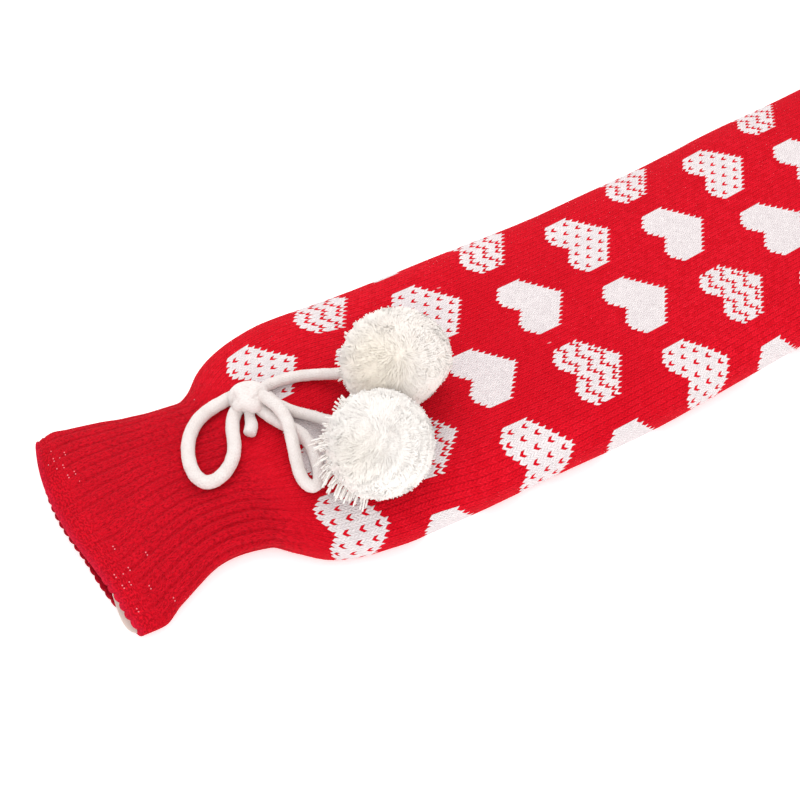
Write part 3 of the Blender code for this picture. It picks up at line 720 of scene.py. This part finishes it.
def chart_skew(x, wales):
    """How far the knitting is pulled along (metres) and turned around (wales): smooth steps
    at the shoulder and the body's two edges, and a slow turn along the body. The numbers
    put the hearts where the photo has them."""
    slide = np.clip((x + 205 * MM) / (100 * MM), 0.0, 2.6)
    rise = smooth_step(x, -250 * MM, -215 * MM)
    far, near = smooth_step(wales, 4, 32), smooth_step(-wales, 8, 30)
    turned = far * (1.875 - 0.666 * slide) - near * (1.191 - 0.75 * slide) + 1.153 * slide - 0.334
    turned = turned - 1.736 * rise + np.clip(wales, -40, 40) * (0.004 - 0.017 * rise + 0.03 * slide)
    turned = turned + 1.5 * smooth_step(wales, 18, 31) * (1 - smooth_step(x, -100 * MM, -60 * MM))
    turned = turned - smooth_step(-wales, 21, 32) * (2.3 - 1.05 * smooth_step(x, -215 * MM, -165 * MM))
    far, near = smooth_step(wales, 8, 28), smooth_step(-wales, 4, 32)
    early = 1 - smooth_step(x, -245 * MM, -205 * MM)
    later = 1 - smooth_step(x, -215 * MM, -130 * MM)
    pulled = near * (1.164 - 5.125 * early - 5.078 * later - 1.261 * smooth_step(x, -110 * MM, -60 * MM))
    pulled = pulled - far * (1.296 * (1 - smooth_step(x, -180 * MM, -130 * MM))
                             + 1.6 * smooth_step(x, -40 * MM, 20 * MM))
    crown = smooth_step(wales, -6, 2) * (1 - smooth_step(wales, 14, 22))
    pulled = pulled + 2.33 * crown * (1 - smooth_step(x, -250 * MM, -205 * MM))
    pulled = pulled - 0.7 * np.exp(-((wales - 8) / 14) ** 2) - 0.157
    under_bow = 2.0 * np.exp(-((wales + 3) / 7) ** 2) + 1.2 * smooth_step(wales, 16, 24)
    pulled = pulled + under_bow * (1 - smooth_step(x, -260 * MM, -242 * MM))
    fade = smooth_step(x, -303 * MM, -284 * MM)
    return pulled * MM * fade, turned * fade


def open_stitches(grid):
    """How open the stretched hem is: bells at the mouth's two corners and by the left loop."""
    near = np.zeros(grid.shape[:2])
    for x, y, long, wide, much in OPEN_SPOTS:
        spot = bell(grid[..., 0] / MM, x, long) * bell(grid[..., 1] / MM, y, wide)
        near = np.maximum(near, much * spot)
    return near * (grid[..., 2] > 5 * MM)


def cover_rings(x, inset):
    """Points of the tube's wall, a ring for each station x.

    A point stands proud of its section by the neck's relief, by the hem's low ridges
    sin(x / pitch) along the mouth, and by two slow crossed waves on the body. The mouth's
    edge is drawn back by mouth_shift and scalloped by sqrt(|cos|).
    """
    y, z = rings(x, inset, COLUMNS)
    around = (np.arange(COLUMNS) / COLUMNS)[None, :]
    station = np.repeat(x[:, None], COLUMNS, axis=1)
    along_y = np.roll(y, -1, 1) - np.roll(y, 1, 1)
    along_z = np.roll(z, -1, 1) - np.roll(z, 1, 1)
    length = np.hypot(along_y, along_z)
    wave = (np.sin(WAVE_LONG * station + WAVE_TURN * around)
            * np.sin(WAVE_SLOW * station - WAVE_BACK * around))
    wave = wave * smooth_step(station, WAVE_START_X, WAVE_FULL_X)
    middle, half, crown, _ = (value[:, None] for value in section(x))
    side = (y - middle) / half
    hem = np.sin(TURN * (station - MOUTH_X) / HEM_PITCH + 1.3 * np.sin(3 * side))
    hem = hem * (1 - smooth_step(station, MOUTH_X + 2 * MM, MOUTH_X + HEM_LENGTH))
    hem = hem * (0.25 + 0.75 * smooth_step(side, -0.3, 0.5))
    proud = relief(station, around) + WAVE_HIGH * wave + HEM_RIDGE * hem
    proud = proud * smooth_step(z, FLAT_BELOW, UNEVEN_ABOVE) * (1 - 0.7 * inset[:, None] / WALL)
    y = y + proud * along_z / length
    z = np.maximum(z - proud * along_y / length, 0.0)
    beads = np.sqrt(np.abs(np.cos(math.pi * SCALLOPS * around))) * 2 - 1
    lower = smooth_step(0.5 - z / crown, 0.0, 0.3)
    shown = lower * smooth_step(side, -0.9, -0.5) + (1 - lower) * smooth_step(-side, 0.35, 0.6)
    scallop = SCALLOP * beads * shown * (1 - smooth_step(station, MOUTH_X, MOUTH_X + SCALLOP_LENGTH))
    return np.stack([mouth_shift(station, y, z) - scallop, y, z], -1)


def seam_rings(y, z):
    """Rings that draw the tube's last one, (y, z), in to the flat seam, where its upper and
    lower halves meet, with a ruffle cos(y / pitch) along its edge."""
    middle, half, _, _ = section(END_X)
    side = np.clip((y - middle) / half, -1, 1)
    quarter = np.arange(COLUMNS) // (COLUMNS // 4)
    upper = np.where((quarter == 1) | (quarter == 2), 1, -1)
    ruffle = 1 + SEAM_RUFFLE * np.cos(TURN * y / SEAM_PITCH)
    made = []
    for share, thick, out in SEAM_RINGS:
        flat = SEAM_HIGH + upper * SEAM_THICK / 2 * thick * (ruffle if share == 1.0 else 1.0)
        made.append(np.stack([END_X + SEAM_OUT * out * (1 - 0.3 * side ** 4),
                              middle + (y - middle) * (1 - 0.02 * share),
                              np.maximum(z + (flat - z) * share, 0.0)], -1))
    return np.array(made)


def make_cover(finish):
    """The knitted tube as one closed wall with its UV maps: the chart's stitches and the
    neck's ribs. Returns it with its grid of points, the maps and how much each is neck."""
    x, inset = cover_stations()
    wall = cover_rings(x, inset)
    grid = np.concatenate([wall, seam_rings(wall[-1, :, 1], wall[-1, :, 2])])
    rows = len(grid)
    points = grid.reshape(-1, 3)
    shares = np.arange(COLUMNS + 1)[None, :] / COLUMNS
    wales = (0.5 - shares) * WALES
    chart_x = np.concatenate([x, np.full(len(SEAM_RINGS), END_X)])[:, None] + 0 * shares
    pulled, turned = chart_skew(chart_x, wales)
    maps = {"stitches": (wales - turned + CHART_WALES, (chart_x - pulled - CHART_START_X) / COURSE),
            "ribs": (shares * RIBS, (chart_x - MOUTH_X) / NECK_COURSE)}
    maps = {key: np.stack(np.broadcast_arrays(u, v), -1) for key, (u, v) in maps.items()}
    faces, corners = facing_out(points, *quads(rows, COLUMNS, folded=True))
    station = chart_x[:, :COLUMNS]
    neck = 1 - smooth_step(station, *NECK_ENDS)
    upper = smooth_step(grid[..., 2], 4.5 * MM, 7 * MM)
    within = (np.arange(rows) < FIRST_OUTSIDE)[:, None] * (1.0 - upper)
    marks = {"neck": neck, "holes": open_stitches(grid),
             # edge: where a painted highlight lightens the upper lip's turned edge
             "edge": upper * bell(station, MOUTH_X, 2.0 * MM),
             # inside: where painted shade darkens the lower inner face of the mouth
             "inside": within * (1 - smooth_step(station, MOUTH_X + 10 * MM, MOUTH_X + 30 * MM))}
    laid_out = {key: value.reshape(-1, 2)[corners.ravel()] for key, value in maps.items()}
    piece = new_piece("cover_knit", points, [faces], finish, laid_out, marks)
    return piece, grid, maps, neck


# ---------------- fibres
FUZZ_COUNT, FUZZ_WIDE = 42000, 0.07 * MM


def fibres(name, roots, ways, lengths, width, finish, rng, normals, maps=None, marks=None):
    """Single thin triangles: a short side across at the root and one point at the tip.
    They are shaded as the surface that they stand on."""
    across = unit(np.cross(ways, rng.normal(size=ways.shape))) * width / 2
    points = np.stack([roots - across, roots + across, roots + ways * lengths[:, None]], 1)
    faces = np.arange(3 * len(roots)).reshape(-1, 3)
    maps, marks = ({key: np.repeat(value, 3, axis=0) for key, value in (each or {}).items()}
                   for each in (maps, marks))
    return new_piece(name, points.reshape(-1, 3), [faces], finish, maps, marks,
                     np.repeat(normals, 3, axis=0))


def make_cover_fuzz(grid, maps, neck, finish, rng):
    """Short fibres that stand off the knitting, in the colour of the stitch below."""
    count = FUZZ_COUNT
    areas = np.linalg.norm(np.diff(grid[FIRST_OUTSIDE:, 0], axis=0), axis=1)
    rows = FIRST_OUTSIDE + rng.choice(len(areas), count, p=areas / areas.sum())
    columns = rng.integers(0, COLUMNS, count)
    a, b, c = grid[rows, columns], grid[rows, (columns + 1) % COLUMNS], grid[rows + 1, columns]
    share, down = rng.random((count, 1)), rng.random((count, 1))
    roots = a + (b - a) * share + (c - a) * down
    normals = unit(np.cross(c - a, b - a))
    normals *= np.sign(np.sum(normals * (a * (0, 1, 1) - (0, 0, 10 * MM)), axis=1))[:, None]
    ways = unit(normals * (0.25 + 0.8 * rng.random((count, 1))) + 0.75 * rng.normal(size=(count, 3)))
    lift = np.sum(ways * normals, axis=1)
    ways = unit(ways + normals * np.maximum(0.2 - lift, 0)[:, None])
    keep = roots[:, 2] > 1.5 * MM
    uv = {key: value[rows, columns] + np.hstack([share, down])
          * (value[rows + 1, columns + 1] - value[rows, columns]) for key, value in maps.items()}
    lengths = (0.5 + 0.9 * rng.random(count)) * MM
    fibres("cover_fuzz", roots[keep], ways[keep], lengths[keep], FUZZ_WIDE, finish, rng,
           normals[keep], {key: value[keep] for key, value in uv.items()}, {"neck": neck[rows, 0][keep]})


def make_tape(finish):
    """The blank end of tape sewn inside the mouth's near corner: a thin lens-shaped band whose
    outer edge runs along x = -368.5 - 3.3 sqrt(sin(pi t^1.9)), y = -10.8 - 26 t, and rises
    by a square at both ends, where it curls up and where the corner lifts it."""
    t = np.linspace(0.0, 1.0, 61)
    x = -368.5 - 3.3 * np.sqrt(np.abs(np.sin(math.pi * t ** 1.9)))
    z = 3.1 + 6.0 * np.maximum(1 - t / 0.3, 0) ** 2 + 2.2 * np.maximum((t - 0.7) / 0.3, 0) ** 2
    edge = np.stack([x, -10.8 - 26.0 * t, z], -1)
    turn = np.linspace(0, TURN, 24, endpoint=False)
    across, thick = TAPE_WIDE * (1 - np.cos(turn)) / 2, TAPE_THICK / 2 * np.sin(turn)
    band = np.stack([across, 0.1 * across, thick + 0.12 * across], -1)
    points = (edge[:, None, :] * MM + band).reshape(-1, 3)
    faces = facing_out(points, quads(len(t), len(turn), folded=True)[0])
    new_piece("mouth_tape", points, faces, finish)


# ---------------- cords
CORD_AROUND = 48               # points around a cord
CORD_WALES, CORD_COURSE = 10, 1.5 * MM
CORD_UNEVEN = 0.035 * MM       # of each of the two waves of a cord's radius
CORD_WAVES = (7.3 * MM, 4.7 * MM)
CORD_FUZZ, CORD_FUZZ_WIDE = 26, 0.06 * MM      # fibres a millimetre


def tube(path, radius, relief_high, bulge=0.0):
    """A round tube along a path: rings square to it, whose radius swells by relief_high times
    the height of V stitches and by two slow waves. The middles of its end caps stand out by
    bulge. Returns points, quads with triangles, and UV corners."""
    way = unit(np.gradient(path, axis=0))
    side = unit(np.cross(way, (0.0, 0.0, 1.0)))
    other = np.cross(side, way)
    along = walked(path)[:, None]
    turn = np.arange(CORD_AROUND + 1) / CORD_AROUND
    wale_side = np.abs((turn * CORD_WALES) % 1 - 0.5) * 2
    leg = (along / CORD_COURSE - wale_side * CORD_SLANT) % 1
    height = np.sqrt(4 * leg * (1 - leg)) * (1 - 0.6 * np.abs(2 * wale_side - 1) ** 3)
    waves = np.sin(TURN * along / CORD_WAVES[0]) + np.sin(TURN * (along / CORD_WAVES[1] + turn))
    reach = radius + relief_high * (height - 0.5) + CORD_UNEVEN * waves
    angle = TURN * turn[None, :, None]
    ring = path[:, None, :] + reach[:, :, None] * (np.cos(angle) * side[:, None, :]
                                                  + np.sin(angle) * other[:, None, :])
    points = np.vstack([ring[:, :-1].reshape(-1, 3), path[:1] - way[:1] * bulge,
                        path[-1:] + way[-1:] * bulge])
    j = np.arange(CORD_AROUND)
    after, last = (j + 1) % CORD_AROUND, (len(path) - 1) * CORD_AROUND
    first = np.full_like(j, len(points) - 2)
    caps = np.concatenate([np.stack([after, j, first], -1),
                           np.stack([last + j, last + after, first + 1], -1)])
    faces, corners, caps = facing_out(points, *quads(len(path), CORD_AROUND), caps)
    uv = np.stack(np.broadcast_arrays(turn * CORD_WALES, along / CORD_COURSE), -1)
    maps = np.vstack([uv.reshape(-1, 2)[corners.ravel()], np.zeros((caps.size, 2))])
    return points, [faces, caps], maps


def tube_fuzz(path, radius, count, rng):
    """Roots and ways of fibres that stand off a tube."""
    at = rng.integers(0, len(path) - 1, count)
    way = unit(path[at + 1] - path[at])
    out = rng.normal(size=(count, 3))
    out = unit(out - way * np.sum(out * way, axis=1)[:, None])
    start = path[at] + (path[at + 1] - path[at]) * rng.random((count, 1)) + out * radius * 0.96
    return start, unit(out * (0.35 + rng.random((count, 1))) + 0.7 * rng.normal(size=(count, 3))), out


def make_cord(name, node, points, radius, finish, fuzz_finish, rng):
    """A knitted cord along its route, with fuzz fibres as many as its length calls for."""
    path = smooth_path(points, 0.3 * MM)
    length = float(walked(path)[-1])
    shape, faces, maps = tube(path, radius, 0.2 * MM)
    piece = new_piece(name, shape, faces, finish, {"stitches": maps})
    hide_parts(node)
    start, ways, out = tube_fuzz(path, radius, int(length / MM * CORD_FUZZ), rng)
    lengths = (0.35 + 0.8 * rng.random(len(start)) ** 2) * MM
    fibres(name + "_fuzz", start, ways, lengths, CORD_FUZZ_WIDE, fuzz_finish, rng, out)


def make_knot(finish):
    """The knot: an oval whose surface is the soft maximum of three strands of cord that
    wrap it. A strand is a low ridge sqrt(1 - (angle / width)^2) on either side of a circle
    that is tilted against the others. The size grows by KNOT_DRAWN times the square of
    the share of its lower side."""
    rows, columns = 97, 192
    way = np.roll(globe(rows, columns), 1, axis=-1)
    size = np.full(way.shape[:2], KNOT_CORE)
    for axis, width, high in KNOT_STRANDS:
        angle = np.arcsin(np.clip(way @ unit(np.array(axis)), -1, 1))
        ridge = np.sqrt(np.clip(1 - (angle / width) ** 2, 0, 1))
        size = np.logaddexp(size * 30, (KNOT_LEVEL + (high - KNOT_LEVEL) * ridge) * 30) / 30
    size = size * (1 + KNOT_DRAWN * np.clip(way[..., 1], 0, 1) ** 2)
    long_axis = unit(SIDE_LEFT - 0.25 * SIDE_UP)
    wide_axis = unit(np.cross((0.0, 0.0, 1.0), long_axis))
    own = np.stack([long_axis, wide_axis, np.cross(long_axis, wide_axis)])
    points = (KNOT_MIDDLE + (way * KNOT_HALF * size[..., None]) @ own).reshape(-1, 3)
    faces, corners = facing_out(points, *quads(rows, columns))
    turn, tilt = np.meshgrid(np.linspace(0, 20, columns + 1), np.linspace(0, 12, rows))
    uv = np.stack([turn, tilt], -1).reshape(-1, 2)[corners.ravel()]
    piece = new_piece("knot_wraps", points, [faces], finish, {"stitches": uv})
    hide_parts("tie_knot")
    return piece


def make_stub(finish):
    """The short cut end below the knot, which widens towards its rounded tip."""
    path = smooth_path(laid(STUB, STUB_RADIUS), 0.3 * MM)
    share = np.linspace(0, 1, len(path))[:, None]
    radius = STUB_RADIUS + (STUB_END - STUB_RADIUS) * smooth_step(share, 0.3, 0.75)
    radius = radius * np.sqrt(1 - 0.9 * np.clip((share - 0.92) / 0.08, 0, 1) ** 2)
    shape, faces, maps = tube(path, radius, 0.25 * MM, 0.1 * MM)
    new_piece("knot_stub", shape, faces, finish, {"stitches": maps})


# ---------------- pompoms
def press(points, middle, other, cords, gap=0.0):
    """Points moved clear of the other pompom's half, of the knitting and of the cords."""
    flat = points.reshape(-1, 3).copy()
    between = (other - middle) / 2
    room = np.linalg.norm(between)
    way = between / room
    over = (flat - middle) @ way - (room - gap)
    flat -= np.maximum(over, 0)[:, None] * way
    flat[:, 2] = np.maximum(flat[:, 2], top_height(flat[:, 0], flat[:, 1]) + PILE_LIFT)
    for start in range(0, len(flat), 4000):
        block = flat[start:start + 4000]
        away = block[:, None, :] - cords[None, :, :]
        distance = np.linalg.norm(away, axis=2)
        nearest = distance.argmin(axis=1)
        rows = np.arange(len(block))
        close = distance[rows, nearest]
        push = np.maximum(CORD_RADIUS + CORD_CLEAR - close, 0) / np.maximum(close, 1e-6)
        block += away[rows, nearest] * push[:, None]
    return flat.reshape(points.shape)


def flatten(points, size, share):
    """Points around a pompom's middle with the part beyond FLAT_FROM of its size drawn in on
    the side of PILE_FLAT."""
    way = unit(PILE_FLAT)
    over = np.maximum(points @ way - FLAT_FROM * size, 0)
    return points - share * over[..., None] * way


def strand_mesh(line, widths, facing):
    """Three-sided strands along lines of points (strand, ring, xyz), closed at the tip. One
    of a strand's flat sides looks the way it faces."""
    count, steps, _ = line.shape
    way = unit(line[:, -1] - line[:, 0])
    side = unit(np.cross(way, facing))
    other = np.cross(way, side)
    angle = (np.arange(3) * TURN / 3 + math.pi / 2)[None, :, None]
    around = np.cos(angle) * side[:, None, :] + np.sin(angle) * other[:, None, :]
    points = line[:, :, None, :] + widths[:, :, None, None] * around[:, None, :, :]
    base = (np.arange(count) * steps * 3)[:, None, None, None]
    ring = (np.arange(steps - 1) * 3)[None, :, None, None]
    corner = np.arange(3)
    pattern = np.stack([corner, (corner + 1) % 3, (corner + 1) % 3 + 3, corner + 3], -1)[None, None]
    sides = (base + ring + pattern).reshape(-1, 4)
    tips = base[:, 0, 0] + (steps - 1) * 3 + corner
    return points.reshape(-1, 3), [sides, tips]


def make_pompom(name, node, middle, other, size, cords, finish, seed, flat=0.0):
    """Cut pile: a soft core and short strands, one in UPRIGHT_EVERY of which stands up and is
    longer.

    Strand i leaves the core in the direction r and ends in the direction
    r + c w + e + p (t - r): w is the part of r - pole that is square to r, c how far it is
    combed, e its own and its tuft's waywardness, t the middle of its tuft and p its pull.
    """
    rng = np.random.default_rng(seed)
    place = np.arange(STRANDS) + 0.5
    polar, turn = np.arccos(1 - 2 * place / STRANDS), math.pi * (1 + 5 ** 0.5) * place
    root = np.stack([np.cos(turn) * np.sin(polar), np.sin(turn) * np.sin(polar), np.cos(polar)], -1)
    root = unit(root + 0.015 * rng.normal(size=root.shape))
    heads = unit(rng.normal(size=(TUFTS, 3)))
    mine = (root @ heads.T).argmax(axis=1)
    down = root - unit(COMB_POLE)
    down = down - root * np.sum(down * root, axis=1)[:, None]
    down = down / np.maximum(np.linalg.norm(down, axis=1), 0.35)[:, None]
    lean = (PILE_COMB * down + (TUFT_STRAY * rng.normal(size=(TUFTS, 3)))[mine]
            + STRAND_STRAY * rng.normal(size=root.shape))
    upright = (np.arange(STRANDS) % UPRIGHT_EVERY == 0)[:, None]
    tip = unit(root + np.where(upright, UPRIGHT_COMB, 1.0) * lean + TUFT_PULL * (heads[mine] - root))
    reach = (PILE_REACH + STRAND_UNEVEN * rng.normal(size=STRANDS)
             + (TUFT_UNEVEN * rng.normal(size=TUFTS))[mine]) + UPRIGHT_MORE * upright[:, 0]
    radius = size * np.stack([np.full(STRANDS, PILE_FROM), reach], -1)
    line = flatten(radius[:, :, None] * np.stack([root, tip], 1), size, flat) + middle
    line[:, 1:] = press(line[:, 1:], middle, other, cords)
    widths = STRAND_WIDTHS * (0.8 + 0.4 * rng.random((STRANDS, 1)))
    points, (sides, tips) = strand_mesh(line, widths, root)

    rows, columns = 65, 128
    core = flatten(globe(rows, columns).reshape(-1, 3) * size * CORE_SHARE, size, flat) + middle
    core = press(core, middle, other, cords, 0.3 * MM)
    faces, = facing_out(core - middle, quads(rows, columns)[0])
    outward = unit(np.vstack([points, core]) - middle)
    own = unit(points - line.repeat(3, axis=1).reshape(-1, 3))
    outward[:len(points)] = unit(outward[:len(points)] + 0.12 * own)
    # depth: 0 at a strand's root, where painted shade darkens it, and 1 at its tip
    marks = {"depth": np.append(np.tile(np.repeat([0.0, 1.0], 3), STRANDS), np.full(len(core), 0.35)),
             "chance": np.append(np.repeat(rng.random(STRANDS), 6), np.full(len(core), 0.5))}
    piece = new_piece(name, np.vstack([points, core]), [sides, faces + len(points), tips], finish,
                      None, marks, outward)
    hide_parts(node)
    return piece


def make_locks(name, middle, other, cords, aims, finish, seed):
    """Longer loose strands with blunt ends: each runs out along its own direction and
    droops and bends by the square of its share.

    A row of aims holds the direction's shares of SIDE_LEFT and SIDE_UP, the number of
    strands and their spread, and, in millimetres, how far they reach from the pompom's
    middle, their droop and their bend.
    """
    rng = np.random.default_rng(seed)
    made = []
    for left, up, count, spread, reach, droop, bend in aims:
        aim = left * SIDE_LEFT + up * SIDE_UP
        made.append((unit(aim + spread * rng.normal(size=(count, 3))),
                     reach * (0.88 + 0.17 * rng.random(count)), droop * (0.4 + rng.random(count)),
                     bend * (0.5 + rng.random(count)), 0.40 + 0.10 * rng.random(count)))
    ways, reaches, droops, bends, thick = (np.concatenate(column) for column in zip(*made))
    share = np.linspace(0, 1, LOCK_POINTS)
    radius = LOCK_ROOT + (reaches[:, None] * MM - LOCK_ROOT) * share
    line = middle + radius[:, :, None] * ways[:, None, :]
    line = line - (bends[:, None] * MM * share ** 2)[..., None] * unit(SIDE_UP)
    line[:, :, 2] -= droops[:, None] * MM * share ** 2
    line = press(line, middle, other, cords, 0.2 * MM)
    widths = np.repeat(thick[:, None] * MM, LOCK_POINTS, axis=1)
    points, face_sets = strand_mesh(line, widths, rng.normal(size=ways.shape))
    # depth: painted shade darkens each lock towards its root
    marks = {"depth": np.repeat(np.tile(0.6 + 0.4 * share, len(ways)), 3),
             "chance": np.repeat(rng.random(len(ways)), 3 * LOCK_POINTS)}
    new_piece(name, points, face_sets, finish, None, marks)


# ---------------- the whole scene
def make_camera():
    """The camera of the photograph's angle."""
    data = bpy.data.cameras.new("camera")
    data.lens, data.sensor_width = CAMERA_LENS, CAMERA_SENSOR
    data.clip_start, data.clip_end = 0.01, 50.0
    camera = bpy.data.objects.new("camera", data)
    camera.location = CAMERA_PLACE
    camera.rotation_euler = (math.radians(CAMERA_TILT), 0.0, math.radians(CAMERA_TURN))
    bpy.context.scene.collection.objects.link(camera)
    bpy.context.scene.camera = camera


def make_light(name, place, aim, size, power, colour=(1, 1, 1)):
    """A square soft light that looks from place at aim."""
    data = bpy.data.lights.new(name, "AREA")
    data.shape, data.size, data.energy, data.color = "SQUARE", size, power, colour
    light = bpy.data.objects.new(name, data)
    way = unit(np.array(aim, float) - np.array(place, float))
    light.location = place
    light.rotation_euler = (math.acos(-way[2]), 0.0, math.atan2(way[1], way[0]) - math.pi / 2)
    bpy.context.scene.collection.objects.link(light)


def make_stage():
    """A plain pale floor and an even pale surround."""
    floor_finish = plain_finish("floor_paint", (0.93, 0.93, 0.93, 1.0), 0.9, glow=0.42)
    mesh = bpy.data.meshes.new("floor")
    reach = 6.0
    mesh.from_pydata([(-reach, -reach, -GAP), (reach, -reach, -GAP), (reach, reach, -GAP),
                      (-reach, reach, -GAP)], [], [(0, 1, 2, 3)])
    mesh.materials.append(floor_finish)
    floor = bpy.data.objects.new("floor", mesh)
    bpy.context.scene.collection.objects.link(floor)
    world = bpy.data.worlds.new("surround")
    world.use_nodes = True
    background = world.node_tree.nodes["Background"]
    background.inputs["Color"].default_value = (1.0, 1.0, 1.0, 1.0)
    background.inputs["Strength"].default_value = 0.93
    bpy.context.scene.world = world


make_camera()
make_stage()
make_light("key", (0.2, 1.0, 1.6), (-0.15, 0.0, 0.0), 1.3, 13.0)
make_light("front", (-0.7, -1.3, 1.4), (-0.2, 0.0, 0.0), 1.5, 11.5)
bpy.context.scene.view_settings.view_transform = "Standard"

cord_finish = yarn_finish("cord_yarn_knitted", rgb(236, 228, 225), rgb(223, 211, 206))
fuzz_finish = plain_finish("cord_fuzz", rgb(238, 231, 227), 0.9)
tape_finish = plain_finish("tape_satin", rgb(232, 220, 210), 0.55)

knot = make_knot(cord_finish)
make_stub(cord_finish)

cords_rng = np.random.default_rng(5)
route_points = {
    "left": laid(LEFT_LOOP), "right": laid(RIGHT_LOOP),
    "far": tail_points(TAIL_FAR, POMPOM_FAR), "near": tail_points(TAIL_NEAR, POMPOM_NEAR),
}
cords = np.vstack([smooth_path(points, 0.8 * MM) for points in route_points.values()])

# pile colours: light, cream for the warm patch, and the painted shade at the roots
far_finish = pile_finish("pile_cream", rgb(246, 239, 233), rgb(243, 233, 216), rgb(232, 219, 206),
                         (-0.246, -0.010, 0.061), 0.024)
near_finish = pile_finish("pile_white", rgb(248, 243, 238), rgb(245, 238, 228), rgb(234, 224, 216),
                          (-0.270, -0.040, 0.053), 0.016)
pile_far = make_pompom("pompom_far_pile", "pompom_far", POMPOM_FAR, POMPOM_NEAR, PILE_FAR,
                       cords, far_finish, seed=3, flat=0.45)
pile_near = make_pompom("pompom_near_pile", "pompom_near", POMPOM_NEAR, POMPOM_FAR, PILE_NEAR,
                        cords, near_finish, seed=8)
make_locks("pompom_near_locks", POMPOM_NEAR, POMPOM_FAR, cords, (
    (1.0, 0.10, 6, 0.05, 27.5, 1.0, 2.5), (1.0, -0.13, 6, 0.06, 26.0, 1.5, 3.5),
    (1.0, 0.0, 60, 0.30, 23.6, 0.6, 1.2), (1.0, 0.50, 16, 0.14, 24.4, 0.5, 0.8),
    (1.0, -0.38, 10, 0.07, 24.3, 1.5, 5.5), (1.0, -0.75, 14, 0.10, 24.6, 1.5, 4.0),
    (0.5, -0.90, 20, 0.14, 24.4, 1.0, 2.0), (0.65, 0.85, 18, 0.12, 24.2, 0.3, 0.8),
), near_finish, 21)
make_locks("pompom_far_locks", POMPOM_FAR, POMPOM_NEAR, cords, (
    (1.0, -0.05, 8, 0.10, 24.8, 0.5, 0.8), (1.0, 0.50, 10, 0.14, 24.2, 0.3, 0.5),
    (0.8, -0.75, 12, 0.12, 24.4, 0.5, 1.2),
), far_finish, 22)

for name, node, route, radius, far_end, held in (
        ("loop_left", "tie_loop_left", "left", 2.78 * MM, "knot", knot),
        ("loop_right", "tie_loop_right", "right", 2.55 * MM, "knot", knot),
        ("tail_far", "tie_tail_far", "far", 2.35 * MM, "fitting", pile_far),
        ("tail_near", "tie_tail_near", "near", 2.25 * MM, "fitting", pile_near)):
    make_cord(name, node, route_points[route], radius, cord_finish, fuzz_finish,
              cords_rng)

make_tape(tape_finish)
knit = knit_finish("knit_red_white", on_cover=True)
knit_fuzz = knit_finish("knit_fuzz", on_cover=False)
cover, grid, cover_maps, neck = make_cover(knit)
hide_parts("cover")
make_cover_fuzz(grid, cover_maps, neck, knit_fuzz, np.random.default_rng(11))
